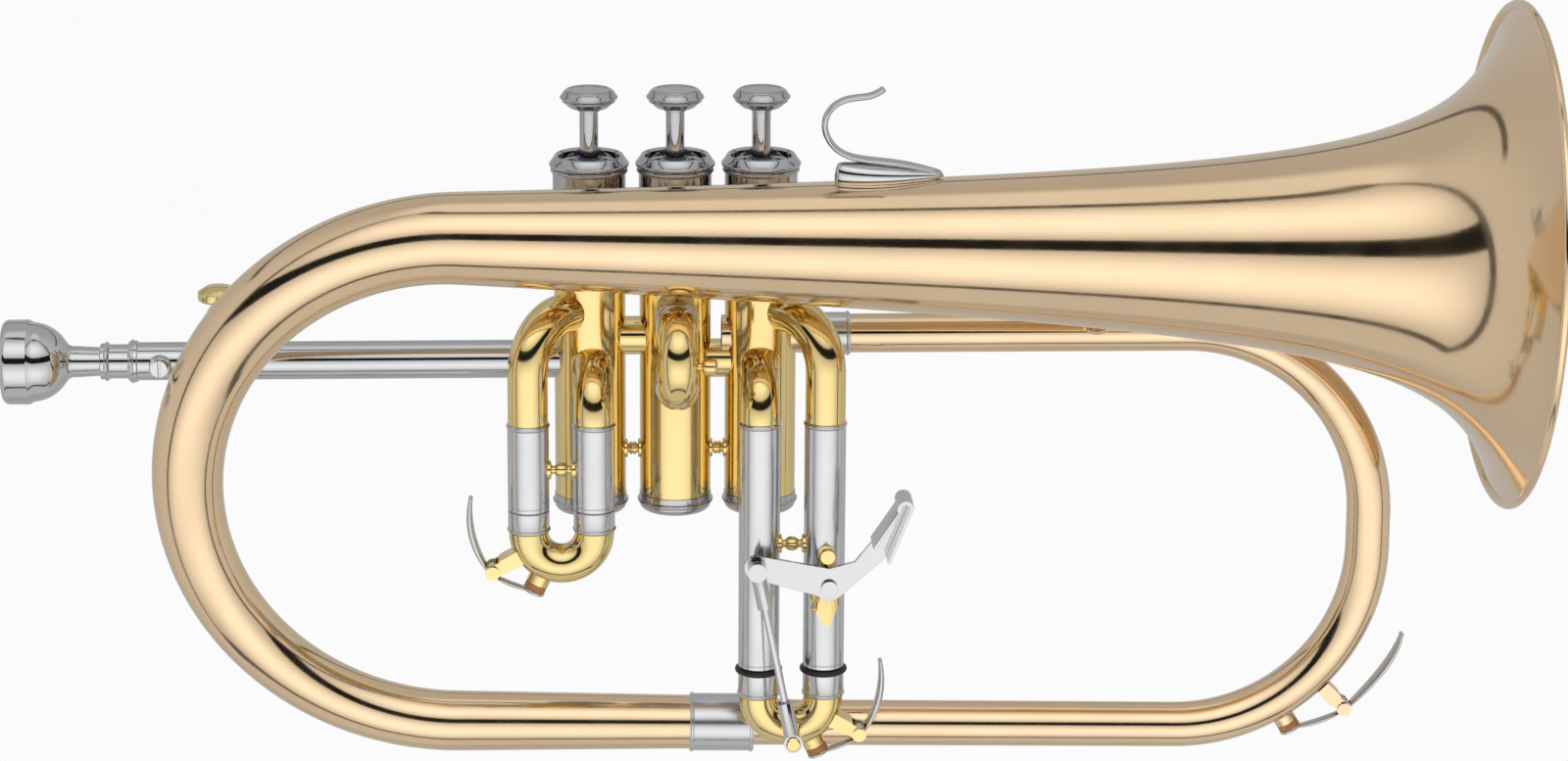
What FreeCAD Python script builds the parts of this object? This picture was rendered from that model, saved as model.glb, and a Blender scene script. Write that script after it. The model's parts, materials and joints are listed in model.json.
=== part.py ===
import FreeCAD, Part
import math
import os

import Sketcher
from FreeCAD import Placement, Rotation, Vector

# Flugelhorn in B flat with three piston valves, a third-slide trigger and three water keys.
#
# Frame: origin on the axis of the second valve at the height of the mouthpipe.
# +Z runs up the valves, +X along the mouthpipe towards the bell mouth, and the
# bell stands on the -Y side of the valves.  All lengths are in millimetres.

SIZES = [
    # valves
    ("valve_pitch", 25.9, "distance from valve to valve"),
    ("casing_radius", 10.8, "outside of a valve casing"),
    ("casing_wall", 1.8, "wall of a valve casing"),
    ("casing_bore", "=casing_radius - casing_wall", "bore of a valve casing"),
    ("casing_bottom", 42.2, "lower end of the casings, below the mouthpipe"),
    ("casing_top", 50.0, "shoulder that the top caps close on"),
    ("casing_neck_radius", "=casing_radius - 0.9", "threaded neck above that shoulder"),
    ("casing_neck_height", 7.0, "height of the neck"),
    ("piston_clearance", 0.05, "radial gap between piston and casing"),
    ("piston_bottom", 22.0, "lower end of a piston at rest, below the mouthpipe"),
    ("piston_top", 42.0, "upper end of a piston at rest"),
    ("piston_skirt_depth", 10.0, "recess for the spring"),
    ("piston_skirt_radius", "=casing_bore - 1.5", "radius of that recess"),
    ("stroke", 14.0, "valve travel"),
    ("stem_radius", 2.8, "valve stem"),
    ("stem_clearance", 0.06, "radial gap between stem and top cap"),
    ("cap_body_radius", "=casing_radius + 0.2", "plain skirt of a top cap"),
    ("cap_knurl_radius", "=casing_radius + 0.8", "knurled ring"),
    ("cap_knurl_base", 58.4, "lower side of the knurled ring"),
    ("cap_lip_radius", "=casing_radius + 1.25", "widest lip"),
    ("cap_lip_height", 60.9, "height of the widest lip"),
    ("cap_rim_radius", "=casing_radius - 0.5", "upper rim"),
    ("cap_rim_height", 63.7, "height of the upper rim"),
    ("cap_recess_radius", "=casing_radius - 1.6", "recess below the finger button"),
    ("cap_floor", 61.0, "top of the cap's floor"),
    ("cap_floor_thickness", 2.0, "thickness of that floor"),
    ("cap_thread_gap", 0.05, "radial gap between cap and casing neck"),
    ("felt_radius", 4.75, "felt ring in the recess"),
    ("felt_thickness", 1.5, "felt ring"),
    ("button_radius", 8.7, "finger button"),
    ("button_base", 78.0, "underside of the button"),
    ("button_edge", 81.4, "height of the widest edge"),
    ("button_top", 83.7, "top of the button"),
    ("button_step_radius", 8.0, "groove below the widest edge"),
    ("button_under_radius", 5.6, "lower end of the tapered underside"),
    ("button_flat_radius", 6.7, "flat top"),
    ("button_hub_radius", 3.3, "hub under the button"),
    ("button_hub_height", 1.0, "length of the hub"),
    ("button_dish", 0.3, "hollow in the button's top"),
    ("foot_cap_lip_radius", "=casing_radius + 1", "lip of a bottom cap"),
    ("foot_cap_height", 5.5, "visible height of a bottom cap"),
    ("foot_cap_wall", 1.4, "wall of a bottom cap"),
    ("foot_cap_collar", 3.6, "collar inside the casing"),
    ("foot_cap_vent", 1.6, "vent hole"),
    ("spring_radius", "=piston_skirt_radius - 1.2", "coil radius of a valve spring"),
    ("spring_wire", 0.45, "wire radius of a valve spring"),
    ("spring_gap", 0.35, "space left at each end of the spring"),
    ("spring_turns", 5.5, "turns of a valve spring"),
    ("port_radius", 5.2, "air passage"),
    ("crossover_radius", 5.9, "short tubes between the casings"),
    ("crossover_first", 7.2, "height of the tube between valves 1 and 2"),
    ("crossover_second", -0.1, "height of the tube between valves 2 and 3"),
    ("stay_radius", 1.5, "bars between the casings"),
    ("stay_foot_radius", 2.9, "flanges of those bars"),
    ("stay_foot_thickness", 0.9, "flange thickness"),
    ("stay_drop", 28.6, "bars, below the mouthpipe"),
    # slides
    ("slide_plane", 21.0, "distance of the slide legs in front of the valves"),
    ("slide_gap", 19.8, "distance from leg to leg"),
    ("slide_offset", 0.9, "inner legs stand this much nearer the middle valve"),
    ("sleeve_radius", 6.25, "outside of a slide sleeve"),
    ("inner_radius", 5.55, "outside of an inner slide leg"),
    ("inner_wall", 0.5, "wall of an inner slide leg"),
    ("slide_clearance", 0.05, "radial gap between leg and sleeve"),
    ("sleeve_top", 14.0, "upper end of the sleeves, below the mouthpipe"),
    ("knuckle_radius", 6.05, "outside of the valve knuckles"),
    ("knuckle_wall", 0.8, "wall of the valve knuckles"),
    ("lower_port", 0.5, "height of the lower ports"),
    ("upper_port", 16.5, "height of the upper ports"),
    ("upper_bend", 15.5, "bend radius of the upper knuckles"),
    ("bow_radius", 6.0, "outside of the slide bows"),
    ("bow_wall", 0.8, "wall of the slide bows"),
    ("bow_leg", 0.4, "straight above a slide bow's bend"),
    ("first_sleeve_end", 41.3, "lower end of the first slide's sleeves"),
    ("first_bow_start", 48.3, "where the first slide's bow starts"),
    ("third_sleeve_end", 92.0, "lower end of the third slide's sleeves"),
    ("third_bow_start", 101.6, "where the third slide's bow starts"),
    ("leg_engagement", 24.0, "how far the first slide's legs reach into their sleeves"),
    ("third_engagement", 62.0, "how far the third slide's legs reach into their sleeves"),
    ("stop_gap", 0.3, "gap between a sleeve and the slide's ferrule at rest"),
    ("ferrule_bead", 0.35, "bead at a ferrule's end"),
    ("o_ring_radius", 0.85, "section of the rubber rings"),
    ("sleeve_stay_first", 29.0, "stay between the first slide's sleeves"),
    ("sleeve_stay_third", 53.0, "stay between the third slide's sleeves"),
    ("second_upper_port", 17.6, "upper port of the second slide"),
    ("second_gap", 19.4, "distance between the second slide's legs"),
    ("second_sleeve_end", 22.5, "front end of the second slide's sleeves"),
    ("second_bow_start", 28.5, "where the second slide's bow starts"),
    ("pull_knob_radius", 2.6, "pull knob of the second slide"),
    ("pull_knob_length", 4.6, "length of that knob"),
    # mouthpipe and mouthpiece
    ("mouthpipe_radius", 5.8, "outer mouthpipe"),
    ("mouthpipe_end", 165.4, "receiver end of the outer mouthpipe"),
    ("collar_radius", 6.6, "receiver collar"),
    ("collar_width", 2.2, "receiver collar"),
    ("tuning_pipe_radius", 5.2, "inner tuning pipe"),
    ("tuning_pipe_bore", 4.4, "bore of the tuning pipe's receiver"),
    ("tuning_pipe_reach", 70.0, "how far the tuning pipe reaches inside"),
    ("tuning_pipe_end", 173.9, "outer end of the tuning pipe"),
    ("screw_station", 155.6, "set screw on the mouthpipe"),
    ("screw_boss_radius", 3.2, "boss of the set screw"),
    ("screw_boss_height", 8.2, "boss height from the pipe's axis"),
    ("shank_radius", 4.35, "mouthpiece shank at the receiver"),
    ("shank_depth", 22.0, "length of shank inside the receiver"),
    ("shank_tip_radius", 3.9, "small end of the shank"),
    ("backbore_radius", 2.9, "mouthpiece bore at its small end"),
    ("throat_radius", 2.0, "mouthpiece throat"),
    ("cup_start", 194.7, "widest part of the cup"),
    ("cup_neck_radius", 4.7, "neck between cup and shank"),
    ("rim_start", 203.3, "rim face of the mouthpiece"),
    ("rim_radius", 12.9, "outer radius of the mouthpiece rim"),
    ("rim_bore", 8.4, "inner radius of the mouthpiece rim"),
    # bell and main tubing
    ("bell_plane", 30.3, "distance of the bell's axis in front of the valves"),
    ("bell_tilt", 1.25, "slope of the bell's axis, in degrees"),
    ("bell_mouth", 248.5, "station of the bell's rim"),
    ("bell_mouth_height", 38.7, "height of the rim's centre"),
    ("bell_length", "=bell_mouth + 64.4", "straight bell from tail to rim"),
    ("bell_rim_radius", 74.7, "flare at the rim"),
    ("bell_tail_radius", 13.75, "bell where the bow starts"),
    ("flare_reach", 14.0, "how far back the flare curls"),
    ("flare_power", 0.75, "sharpness of the flare"),
    ("cone_slope", 0.0268, "taper of the straight part"),
    ("bell_wall", 0.6, "sheet thickness"),
    ("rim_wire", 1.4, "section of the bead at the rim"),
    ("bow_drop", 160.6, "height of the large bow"),
    ("bow_depth", 25.3, "how much nearer the valves its lower leg lies"),
    ("bow_side_radius", 10.65, "tube at the bow's side"),
    ("bow_foot_radius", 9.3, "tube at the bow's foot"),
    ("ferrule_station", 4.4, "left end of the bottom ferrule"),
    ("ferrule_length", 19.5, "bottom ferrule"),
    ("ferrule_radius", 8.9, "bottom ferrule"),
    ("ferrule_tube_radius", 8.2, "large tube where it enters the ferrule"),
    ("branch_tube_radius", 7.1, "small tube where it enters the ferrule"),
    ("branch_foot_radius", 6.95, "start of the right-hand bow"),
    ("branch_side_radius", 6.75, "right-hand bow at its side"),
    ("branch_top_radius", 6.1, "end of the right-hand bow"),
    ("branch_exit_radius", 5.9, "tube at the third valve"),
    ("branch_station", "=bell_mouth - 91.9", "where the right-hand bow starts to turn"),
    ("branch_bend", 58.0, "bend radius of its two quarter turns"),
    ("branch_side", 10.3, "straight between them"),
    ("exit_height", 7.45, "height of the exit tube"),
    ("exit_ferrule_station", 45.0, "valve side of the exit ferrule"),
    ("exit_ferrule_length", 8.2, "exit ferrule"),
    ("exit_ferrule_radius", 6.5, "exit ferrule"),
    # trigger
    ("trigger_x", "=valve_pitch + slide_gap", "pivot of the trigger"),
    ("trigger_z", 63.5, "pivot of the trigger, below the mouthpipe"),
    ("trigger_plane", 31.6, "back face of the trigger plate"),
    ("trigger_thickness", 1.4, "trigger plate"),
    ("rod_top_x", "=trigger_x - 21.9", "upper pin of the link rod"),
    ("rod_top_z", 56.8, "upper pin, below the mouthpipe"),
    ("rod_foot_x", "=valve_pitch - slide_offset + slide_gap / 2", "lower pin of the link rod"),
    ("rod_foot_z", 111.5, "lower pin, below the mouthpipe"),
    ("rod_radius", 1.15, "link rod"),
    ("rod_end_radius", 2.3, "sleeves at the rod's ends"),
    ("pin_radius", 1.2, "pins and pivots"),
    ("pin_clearance", 0.06, "radial gap around a pivot"),
    ("saddle_width", 12.0, "thumb saddle"),
    # water keys
    ("key_width", 5.0, "width of a water key's lever"),
    ("key_plate", 1.1, "thickness of that lever"),
    ("nipple_radius", 3.4, "nipple"),
    ("nipple_height", 1.9, "nipple above the tube"),
    ("cork_radius", 3.3, "cork"),
    ("cork_height", 2.2, "cork"),
    ("key_pivot_radius", 1.9, "barrel around the pivot"),
    ("main_key_swing", 31.0, "main water key, degrees from the lowest point of its bend"),
    # fittings on the bell and the mouthpipe
    ("hook_wire", 1.5, "section of the finger hook"),
    ("hook_radius", 9.4, "curl of the finger hook"),
    ("brace_station", 128.0, "bell brace on the exit tube"),
    ("brace_radius", 1.8, "rod of a bell brace"),
    ("brace_foot_radius", 5.0, "foot on the tube"),
    ("brace_pad_radius", 6.5, "pad on the bell"),
    ("lyre_x", 138.5, "lyre socket, left of the middle valve"),
    ("lyre_radius", 4.4, "outside of the lyre socket"),
    ("lyre_bore", 2.2, "bore of the lyre socket"),
    ("lyre_length", 12.0, "length of the lyre socket"),
    ("lyre_height", 10.4, "height of the socket's axis"),
    ("thumb_screw_radius", 6.2, "head of the lyre's thumb screw"),
]

doc = FreeCAD.newDocument("flugelhorn")
sheet = doc.addObject("Spreadsheet::Sheet", "Sizes")
for row, (alias, value, note) in enumerate(SIZES, start=1):
    sheet.set(f"A{row}", note)
    sheet.set(f"B{row}", str(value))
    sheet.setAlias(f"B{row}", alias)
doc.recompute()

X_AXIS = Vector(1, 0, 0)
Y_AXIS = Vector(0, 1, 0)
Z_AXIS = Vector(0, 0, 1)
NODES = {}


# ---------------------------------------------------------------- sizes

class Size:
    """A number with the sheet expression that gives it."""

    def __init__(self, number, text):
        self.number = number
        self.text = text

    def __add__(self, other):
        other = as_size(other)
        return Size(self.number + other.number, f"({self.text} + {other.text})")

    def __sub__(self, other):
        other = as_size(other)
        return Size(self.number - other.number, f"({self.text} - {other.text})")

    def __mul__(self, other):
        other = as_size(other)
        return Size(self.number * other.number, f"({self.text} * {other.text})")

    def __truediv__(self, other):
        other = as_size(other)
        return Size(self.number / other.number, f"({self.text} / {other.text})")

    def __neg__(self):
        return Size(-self.number, f"(-1 * {self.text})")

    __radd__ = __add__
    __rmul__ = __mul__

    def __rsub__(self, other):
        return as_size(other) - self


def as_size(value):
    if isinstance(value, Size):
        return value
    return Size(float(value), repr(float(value)))


def size(alias):
    """The named cell, as a Size."""
    return Size(float(sheet.get(alias)), f"Sizes.{alias}")


def mm(alias):
    """The named cell, as a plain number."""
    return float(sheet.get(alias))


def distance(across, along):
    across = as_size(across)
    along = as_size(along)
    text = f"hypot({across.text}; {along.text})"
    return Size(math.hypot(across.number, along.number), text)


def bind(thing, prop, value):
    value = as_size(value)
    setattr(thing, prop, value.number)
    if "Sizes." in value.text:
        thing.setExpression(prop, value.text)


# ---------------------------------------------------------------- places

def at(x, y, z):
    return Vector(as_size(x).number, as_size(y).number, as_size(z).number)


def placed(position, x_axis=X_AXIS, z_axis=Z_AXIS):
    """Placement that turns local X and Z into the given directions."""
    y_axis = z_axis.cross(x_axis)
    return Placement(position, Rotation(x_axis, y_axis, z_axis, "ZXY"))


def along_x(position):
    """Local Z along world +X."""
    return placed(position, -Z_AXIS, X_AXIS)


def towards_front(position):
    """Local Z along world -Y."""
    return placed(position, X_AXIS, -Y_AXIS)


# ---------------------------------------------------------------- sketches and features

def origin_plane(body, role):
    return [feature for feature in body.Origin.OriginFeatures if feature.Role == role][0]


def new_sketch(body, role, suffix):
    drawing = body.newObject("Sketcher::SketchObject", f"{body.Name}_{suffix}")
    drawing.AttachmentSupport = [(origin_plane(body, role), "")]
    drawing.MapMode = "FlatFace"
    return drawing


def fix(drawing, shape_id, vertex, axis, value):
    """Hold one coordinate of one vertex at a sheet size."""
    value = as_size(value)
    if value.text == "0.0":
        on_axis = -2 if axis == "X" else -1
        drawing.addConstraint(Sketcher.Constraint("PointOnObject", shape_id, vertex, on_axis))
        return
    rule = Sketcher.Constraint(f"Distance{axis}", shape_id, vertex, value.number)
    index = drawing.addConstraint(rule)
    if "Sizes." in value.text:
        name = f"{axis}{index}"
        drawing.renameConstraint(index, name)
        drawing.setExpression(f"Constraints.{name}", value.text)


def draw_chain(drawing, corners, closed=True):
    """Lines and arcs from corner to corner.

    A corner is (x, y), or (x, y, centre_x, centre_y, turn) where an arc arrives
    at it: turn is +1 counter-clockwise and -1 clockwise.
    """
    corners = [tuple(as_size(value) for value in corner) for corner in corners]
    steps = list(zip(corners, corners[1:] + corners[:1])) if closed else list(zip(corners, corners[1:]))
    links = []
    for start, end in steps:
        first = Vector(start[0].number, start[1].number, 0)
        last = Vector(end[0].number, end[1].number, 0)
        if len(end) == 2:
            shape_id = drawing.addGeometry(Part.LineSegment(first, last), False)
            links.append((shape_id, 1, 2))
            continue
        centre = Vector(end[2].number, end[3].number, 0)
        if end[4].number < 0:
            first, last = last, first
        begin = math.atan2(first.y - centre.y, first.x - centre.x)
        finish = math.atan2(last.y - centre.y, last.x - centre.x)
        if finish <= begin:
            finish += 2 * math.pi
        circle = Part.Circle(centre, Z_AXIS, (first - centre).Length)
        shape_id = drawing.addGeometry(Part.ArcOfCircle(circle, begin, finish), False)
        links.append((shape_id, 1, 2) if end[4].number > 0 else (shape_id, 2, 1))
        flat = abs(last.x - first.x) >= abs(last.y - first.y)
        fix(drawing, shape_id, 3, "Y" if flat else "X", end[3] if flat else end[2])
    for index, (shape_id, begin, finish) in enumerate(links):
        fix(drawing, shape_id, begin, "X", corners[index][0])
        fix(drawing, shape_id, begin, "Y", corners[index][1])
        if index + 1 < len(links) or closed:
            following = links[(index + 1) % len(links)]
            rule = Sketcher.Constraint("Coincident", shape_id, finish, following[0], following[1])
            drawing.addConstraint(rule)
        else:
            fix(drawing, shape_id, finish, "X", corners[-1][0])
            fix(drawing, shape_id, finish, "Y", corners[-1][1])


def draw_circle(drawing, radius, x=0, y=0):
    x = as_size(x)
    y = as_size(y)
    radius = as_size(radius)
    circle = Part.Circle(Vector(x.number, y.number, 0), Z_AXIS, radius.number)
    shape_id = drawing.addGeometry(circle, False)
    fix(drawing, shape_id, 3, "X", x)
    fix(drawing, shape_id, 3, "Y", y)
    index = drawing.addConstraint(Sketcher.Constraint("Radius", shape_id, radius.number))
    name = f"R_{index}"
    drawing.renameConstraint(index, name)
    drawing.setExpression(f"Constraints.{name}", radius.text)


def turned(name, outline, place=Placement()):
    """A body turned about its local Z; the outline holds (radius, height) corners."""
    body = doc.addObject("PartDesign::Body", name)
    profile = new_sketch(body, "XZ_Plane", "profile")
    draw_chain(profile, outline)
    turn = body.newObject("PartDesign::Revolution", f"{name}_turn")
    turn.Profile = profile
    turn.ReferenceAxis = (profile, ["V_Axis"])
    turn.Angle = 360
    profile.Visibility = False
    body.Placement = place
    return body


def ring(name, outer, inner, start, end, place=Placement()):
    """A plain tube along local Z."""
    outline = [(inner, start), (outer, start), (outer, end), (inner, end)]
    return turned(name, outline, place)


def piped(name, route, outer, inner, place=Placement()):
    """A tube along a route in its local XZ plane that starts at the origin along +X."""
    body = doc.addObject("PartDesign::Body", name)
    path = new_sketch(body, "XZ_Plane", "route")
    draw_chain(path, route, closed=False)
    section = new_sketch(body, "YZ_Plane", "section")
    draw_circle(section, outer)
    if inner is not None:
        draw_circle(section, inner)
    pipe = body.newObject("PartDesign::AdditivePipe", f"{name}_pipe")
    pipe.Profile = section
    pipe.Spine = (path, [f"Edge{number}" for number in range(1, len(route))])
    path.Visibility = False
    section.Visibility = False
    body.Placement = place
    return body


def plate(name, outline, thickness, place=Placement(), holes=()):
    """A flat plate in its local XY plane, thickness along +Z; holes are (x, y, radius)."""
    body = doc.addObject("PartDesign::Body", name)
    profile = new_sketch(body, "XY_Plane", "profile")
    draw_chain(profile, outline)
    for x, y, radius in holes:
        draw_circle(profile, radius, x, y)
    pad = body.newObject("PartDesign::Pad", f"{name}_pad")
    pad.Profile = profile
    bind(pad, "Length", thickness)
    profile.Visibility = False
    body.Placement = place
    return body


def cylinder(name, radius, length, place=Placement()):
    shape = doc.addObject("Part::Cylinder", name)
    bind(shape, "Radius", radius)
    bind(shape, "Height", length)
    shape.Placement = place
    return shape


def ball(name, radius, position):
    shape = doc.addObject("Part::Sphere", name)
    bind(shape, "Radius", radius)
    shape.Placement = Placement(position, Rotation())
    return shape


def fused(name, *pieces):
    joined = doc.addObject("Part::MultiFuse", name)
    joined.Shapes = list(pieces)
    return joined


def cut(name, base, *tools):
    result = doc.addObject("Part::Cut", name)
    result.Base = base
    result.Tool = tools[0] if len(tools) == 1 else fused(f"{name}_tools", *tools)
    return result


def grouped(name, pieces):
    group = doc.addObject("Part::Compound", name)
    group.Links = list(pieces)
    return group


def made(name, shape, place=Placement()):
    feature = doc.addObject("Part::Feature", name)
    feature.Shape = shape
    feature.Placement = place
    return feature


def keep(name, thing):
    """Name a finished piece; its label is its file's name."""
    thing.Label = name
    NODES[name] = thing
    return thing


# ---------------------------------------------------------------- valves

CASING_STATIONS = {1: -size("valve_pitch"), 2: as_size(0), 3: size("valve_pitch")}
LEGS = {
    1: (CASING_STATIONS[1] + size("slide_offset"), -1),
    3: (CASING_STATIONS[3] - size("slide_offset"), 1),
}


def leg_stations(valve):
    """Inner and outer leg of the first or third slide."""
    inner, side = LEGS[valve]
    return inner, inner + side * size("slide_gap")


def towards_leg(valve, leg):
    offset = Vector(leg.number - CASING_STATIONS[valve].number, -mm("slide_plane"), 0)
    return offset.normalize()


def casing_ports(valve):
    """Direction and height of every air port of a valve."""
    left = {1: as_size(0), 2: size("crossover_first"), 3: size("crossover_second")}
    right = {1: size("crossover_first"), 2: size("crossover_second"), 3: size("exit_height")}
    ports = [(-X_AXIS, left[valve]), (X_AXIS, right[valve])]
    if valve == 2:
        ports.append((-Y_AXIS, size("second_upper_port")))
        ports.append((-Y_AXIS, size("second_upper_port") - size("second_gap")))
        return ports
    inner, outer = leg_stations(valve)
    ports.append((towards_leg(valve, inner), size("lower_port")))
    ports.append((towards_leg(valve, outer), size("upper_port")))
    return ports


def casing_block(name, valve):
    """Solid the size of a casing, for seating what is soldered to it."""
    height = size("casing_bottom") + size("casing_top")
    place = Placement(at(CASING_STATIONS[valve], 0, -size("casing_bottom")), Rotation())
    return cylinder(name, size("casing_radius"), height, place)


def sideways(position, direction):
    """Local Z along a level direction."""
    return placed(position, direction.cross(Z_AXIS), direction)


def valve_casing(valve):
    bore = size("casing_bore")
    shell = turned(f"casing_{valve}_shell", [
        (bore, -size("casing_bottom")),
        (size("casing_radius"), -size("casing_bottom")),
        (size("casing_radius"), size("casing_top")),
        (size("casing_neck_radius"), size("casing_top")),
        (size("casing_neck_radius"), size("casing_top") + size("casing_neck_height")),
        (bore, size("casing_top") + size("casing_neck_height")),
    ], Placement(at(CASING_STATIONS[valve], 0, 0), Rotation()))
    drills = []
    for number, (direction, height) in enumerate(casing_ports(valve)):
        centre = at(CASING_STATIONS[valve], 0, height)
        drill = cylinder(f"casing_{valve}_port_{number}", size("port_radius"),
                         size("casing_radius") + 1, sideways(centre, direction))
        drills.append(drill)
    keep(f"valve_casing_{valve}", cut(f"valve_casing_{valve}", shell, *drills))


def piston(valve):
    station = CASING_STATIONS[valve]
    radius = size("casing_bore") - size("piston_clearance")
    skirt = size("piston_skirt_depth") - size("piston_bottom")
    blank = turned(f"piston_{valve}_blank", [
        (0, skirt),
        (size("piston_skirt_radius"), skirt),
        (size("piston_skirt_radius"), -size("piston_bottom")),
        (radius, -size("piston_bottom")),
        (radius, size("piston_top") - 0.8),
        (radius - 0.8, size("piston_top")),
        (size("stem_radius"), size("piston_top")),
        (size("stem_radius"), size("button_base")),
        (0, size("button_base")),
    ], Placement(at(station, 0, 0), Rotation()))
    ports = casing_ports(valve)
    reach = size("casing_bore") + 2
    left = at(station - reach, 0, ports[0][1])
    right = at(station + reach, 0, ports[1][1])
    span = right - left
    passage = placed(left, Y_AXIS, Vector(span).normalize())
    tunnel = doc.addObject("Part::Cylinder", f"piston_{valve}_tunnel")
    rise = ports[1][1] - ports[0][1]
    bind(tunnel, "Radius", size("port_radius"))
    bind(tunnel, "Height", distance(reach * 2, rise))
    tunnel.Placement = passage
    pockets = []
    for number, (direction, height) in enumerate(ports[2:]):
        mouth = at(station, 0, height + size("stroke")) + direction * mm("port_radius")
        pocket = cylinder(f"piston_{valve}_pocket_{number}", size("port_radius") - 0.8,
                          size("casing_bore"), sideways(mouth, direction))
        pockets.append(pocket)
    keep(f"piston_{valve}", cut(f"piston_{valve}", blank, tunnel, *pockets))


def finger_button(valve):
    base = size("button_base")
    hole = size("stem_radius") + 0.02
    hub = size("button_hub_radius")
    nose = 0.4
    edge = size("button_radius") - nose
    step = size("button_step_radius")
    flat = size("button_flat_radius")
    top = size("button_top")
    dish = top - size("button_dish")
    keep(f"finger_button_{valve}", turned(f"finger_button_{valve}", [
        (0, base + 0.02),
        (hole, base + 0.02),
        (hole, base - size("button_hub_height")),
        (hub, base - size("button_hub_height")),
        (hub, base),
        (size("button_under_radius"), base + 0.3),
        (step, base + 1.9),
        (step, base + 2.4),
        (edge, size("button_edge") - nose),
        (edge, size("button_edge") + nose, edge, size("button_edge"), 1),
        (flat + 0.8, top - 0.5),
        (flat, top),
        (flat - 0.6, top),
        (flat - 1.0, dish),
        (0, dish),
    ], Placement(at(CASING_STATIONS[valve], 0, 0), Rotation())))


def top_cap(number, station):
    bore = size("casing_neck_radius") + size("cap_thread_gap")
    hole = size("stem_radius") + size("stem_clearance")
    ceiling = size("cap_floor") - size("cap_floor_thickness")
    lip = size("cap_lip_radius") - 1
    knurl = size("cap_knurl_base")
    chamfer = 0.35
    return turned(f"top_cap_{number}", [
        (bore, size("casing_top")),
        (size("cap_body_radius"), size("casing_top")),
        (size("cap_body_radius"), knurl),
        (size("cap_knurl_radius"), knurl),
        (size("cap_knurl_radius"), knurl + 1.2),
        (lip, size("cap_lip_height") - 1),
        (lip, size("cap_lip_height") + 1, lip, size("cap_lip_height"), 1),
        (size("cap_rim_radius"), size("cap_rim_height") - chamfer),
        (size("cap_rim_radius") - chamfer, size("cap_rim_height")),
        (size("cap_recess_radius") + chamfer, size("cap_rim_height")),
        (size("cap_recess_radius"), size("cap_rim_height") - chamfer),
        (size("cap_recess_radius"), size("cap_floor")),
        (hole, size("cap_floor")),
        (hole, ceiling),
        (bore, ceiling),
    ], Placement(at(station, 0, 0), Rotation()))


def bottom_cap(number, station):
    top = -size("casing_bottom")
    foot = top - size("foot_cap_height")
    lip = size("foot_cap_lip_radius")
    collar = size("casing_bore") - 0.03
    inside = collar - size("foot_cap_wall")
    body = size("casing_radius") + 0.2
    return turned(f"bottom_cap_{number}", [
        (size("foot_cap_vent"), foot),
        (lip - 2.4, foot),
        (lip, foot + 2.4, lip - 2.4, foot + 2.4, 1),
        (lip, foot + 3.0),
        (body, foot + 3.8),
        (body, top),
        (collar, top),
        (collar, top + size("foot_cap_collar")),
        (inside, top + size("foot_cap_collar")),
        (inside, foot + size("foot_cap_wall")),
        (size("foot_cap_vent"), foot + size("foot_cap_wall")),
    ], Placement(at(station, 0, 0), Rotation()))


POINTS_PER_TURN = 12


def valve_spring(valve):
    """Compression spring between the bottom cap and the piston's recess."""
    seat = mm("foot_cap_wall") - mm("casing_bottom") - mm("foot_cap_height")
    low = seat + mm("spring_gap") + mm("spring_wire")
    high = mm("piston_skirt_depth") - mm("piston_bottom") - mm("spring_gap") - mm("spring_wire")
    height = high - low
    radius = mm("spring_radius")
    turns = mm("spring_turns")
    steps = round(turns * POINTS_PER_TURN)
    points = []
    for step in range(steps + 1):
        angle = 2 * math.pi * turns * step / steps
        points.append(Vector(radius * math.cos(angle), radius * math.sin(angle), height * step / steps))
    route = Part.BSplineCurve()
    route.interpolate(points)
    heading = route.tangent(route.FirstParameter)[0]
    section = Part.Circle(points[0], heading, mm("spring_wire")).toShape()
    coil = Part.Wire(route.toShape()).makePipeShell([Part.Wire(section)], True, False)
    place = Placement(at(CASING_STATIONS[valve], 0, low), Rotation())
    keep(f"valve_spring_{valve}", made(f"valve_spring_{valve}", coil, place))


def stay(name, left, right, across, height, seat):
    """Bar along X with a round foot at each end, seated on the tubes it joins."""
    length = right - left
    place = along_x(at(left, across, height))
    bar = cylinder(f"{name}_bar", size("stay_radius"), length, place)
    feet = []
    reach = seat + size("stay_foot_thickness")
    for end, start in enumerate((as_size(0), length - reach)):
        foot_place = along_x(at(left + start, across, height))
        feet.append(cylinder(f"{name}_foot_{end}", size("stay_foot_radius"), reach, foot_place))
    tools = []
    for end, station in enumerate((left, right)):
        seat_place = Placement(at(station, across, height - 10), Rotation())
        tools.append(cylinder(f"{name}_seat_{end}", seat, 20, seat_place))
    return cut(name, fused(f"{name}_blank", bar, *feet), *tools)


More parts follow.
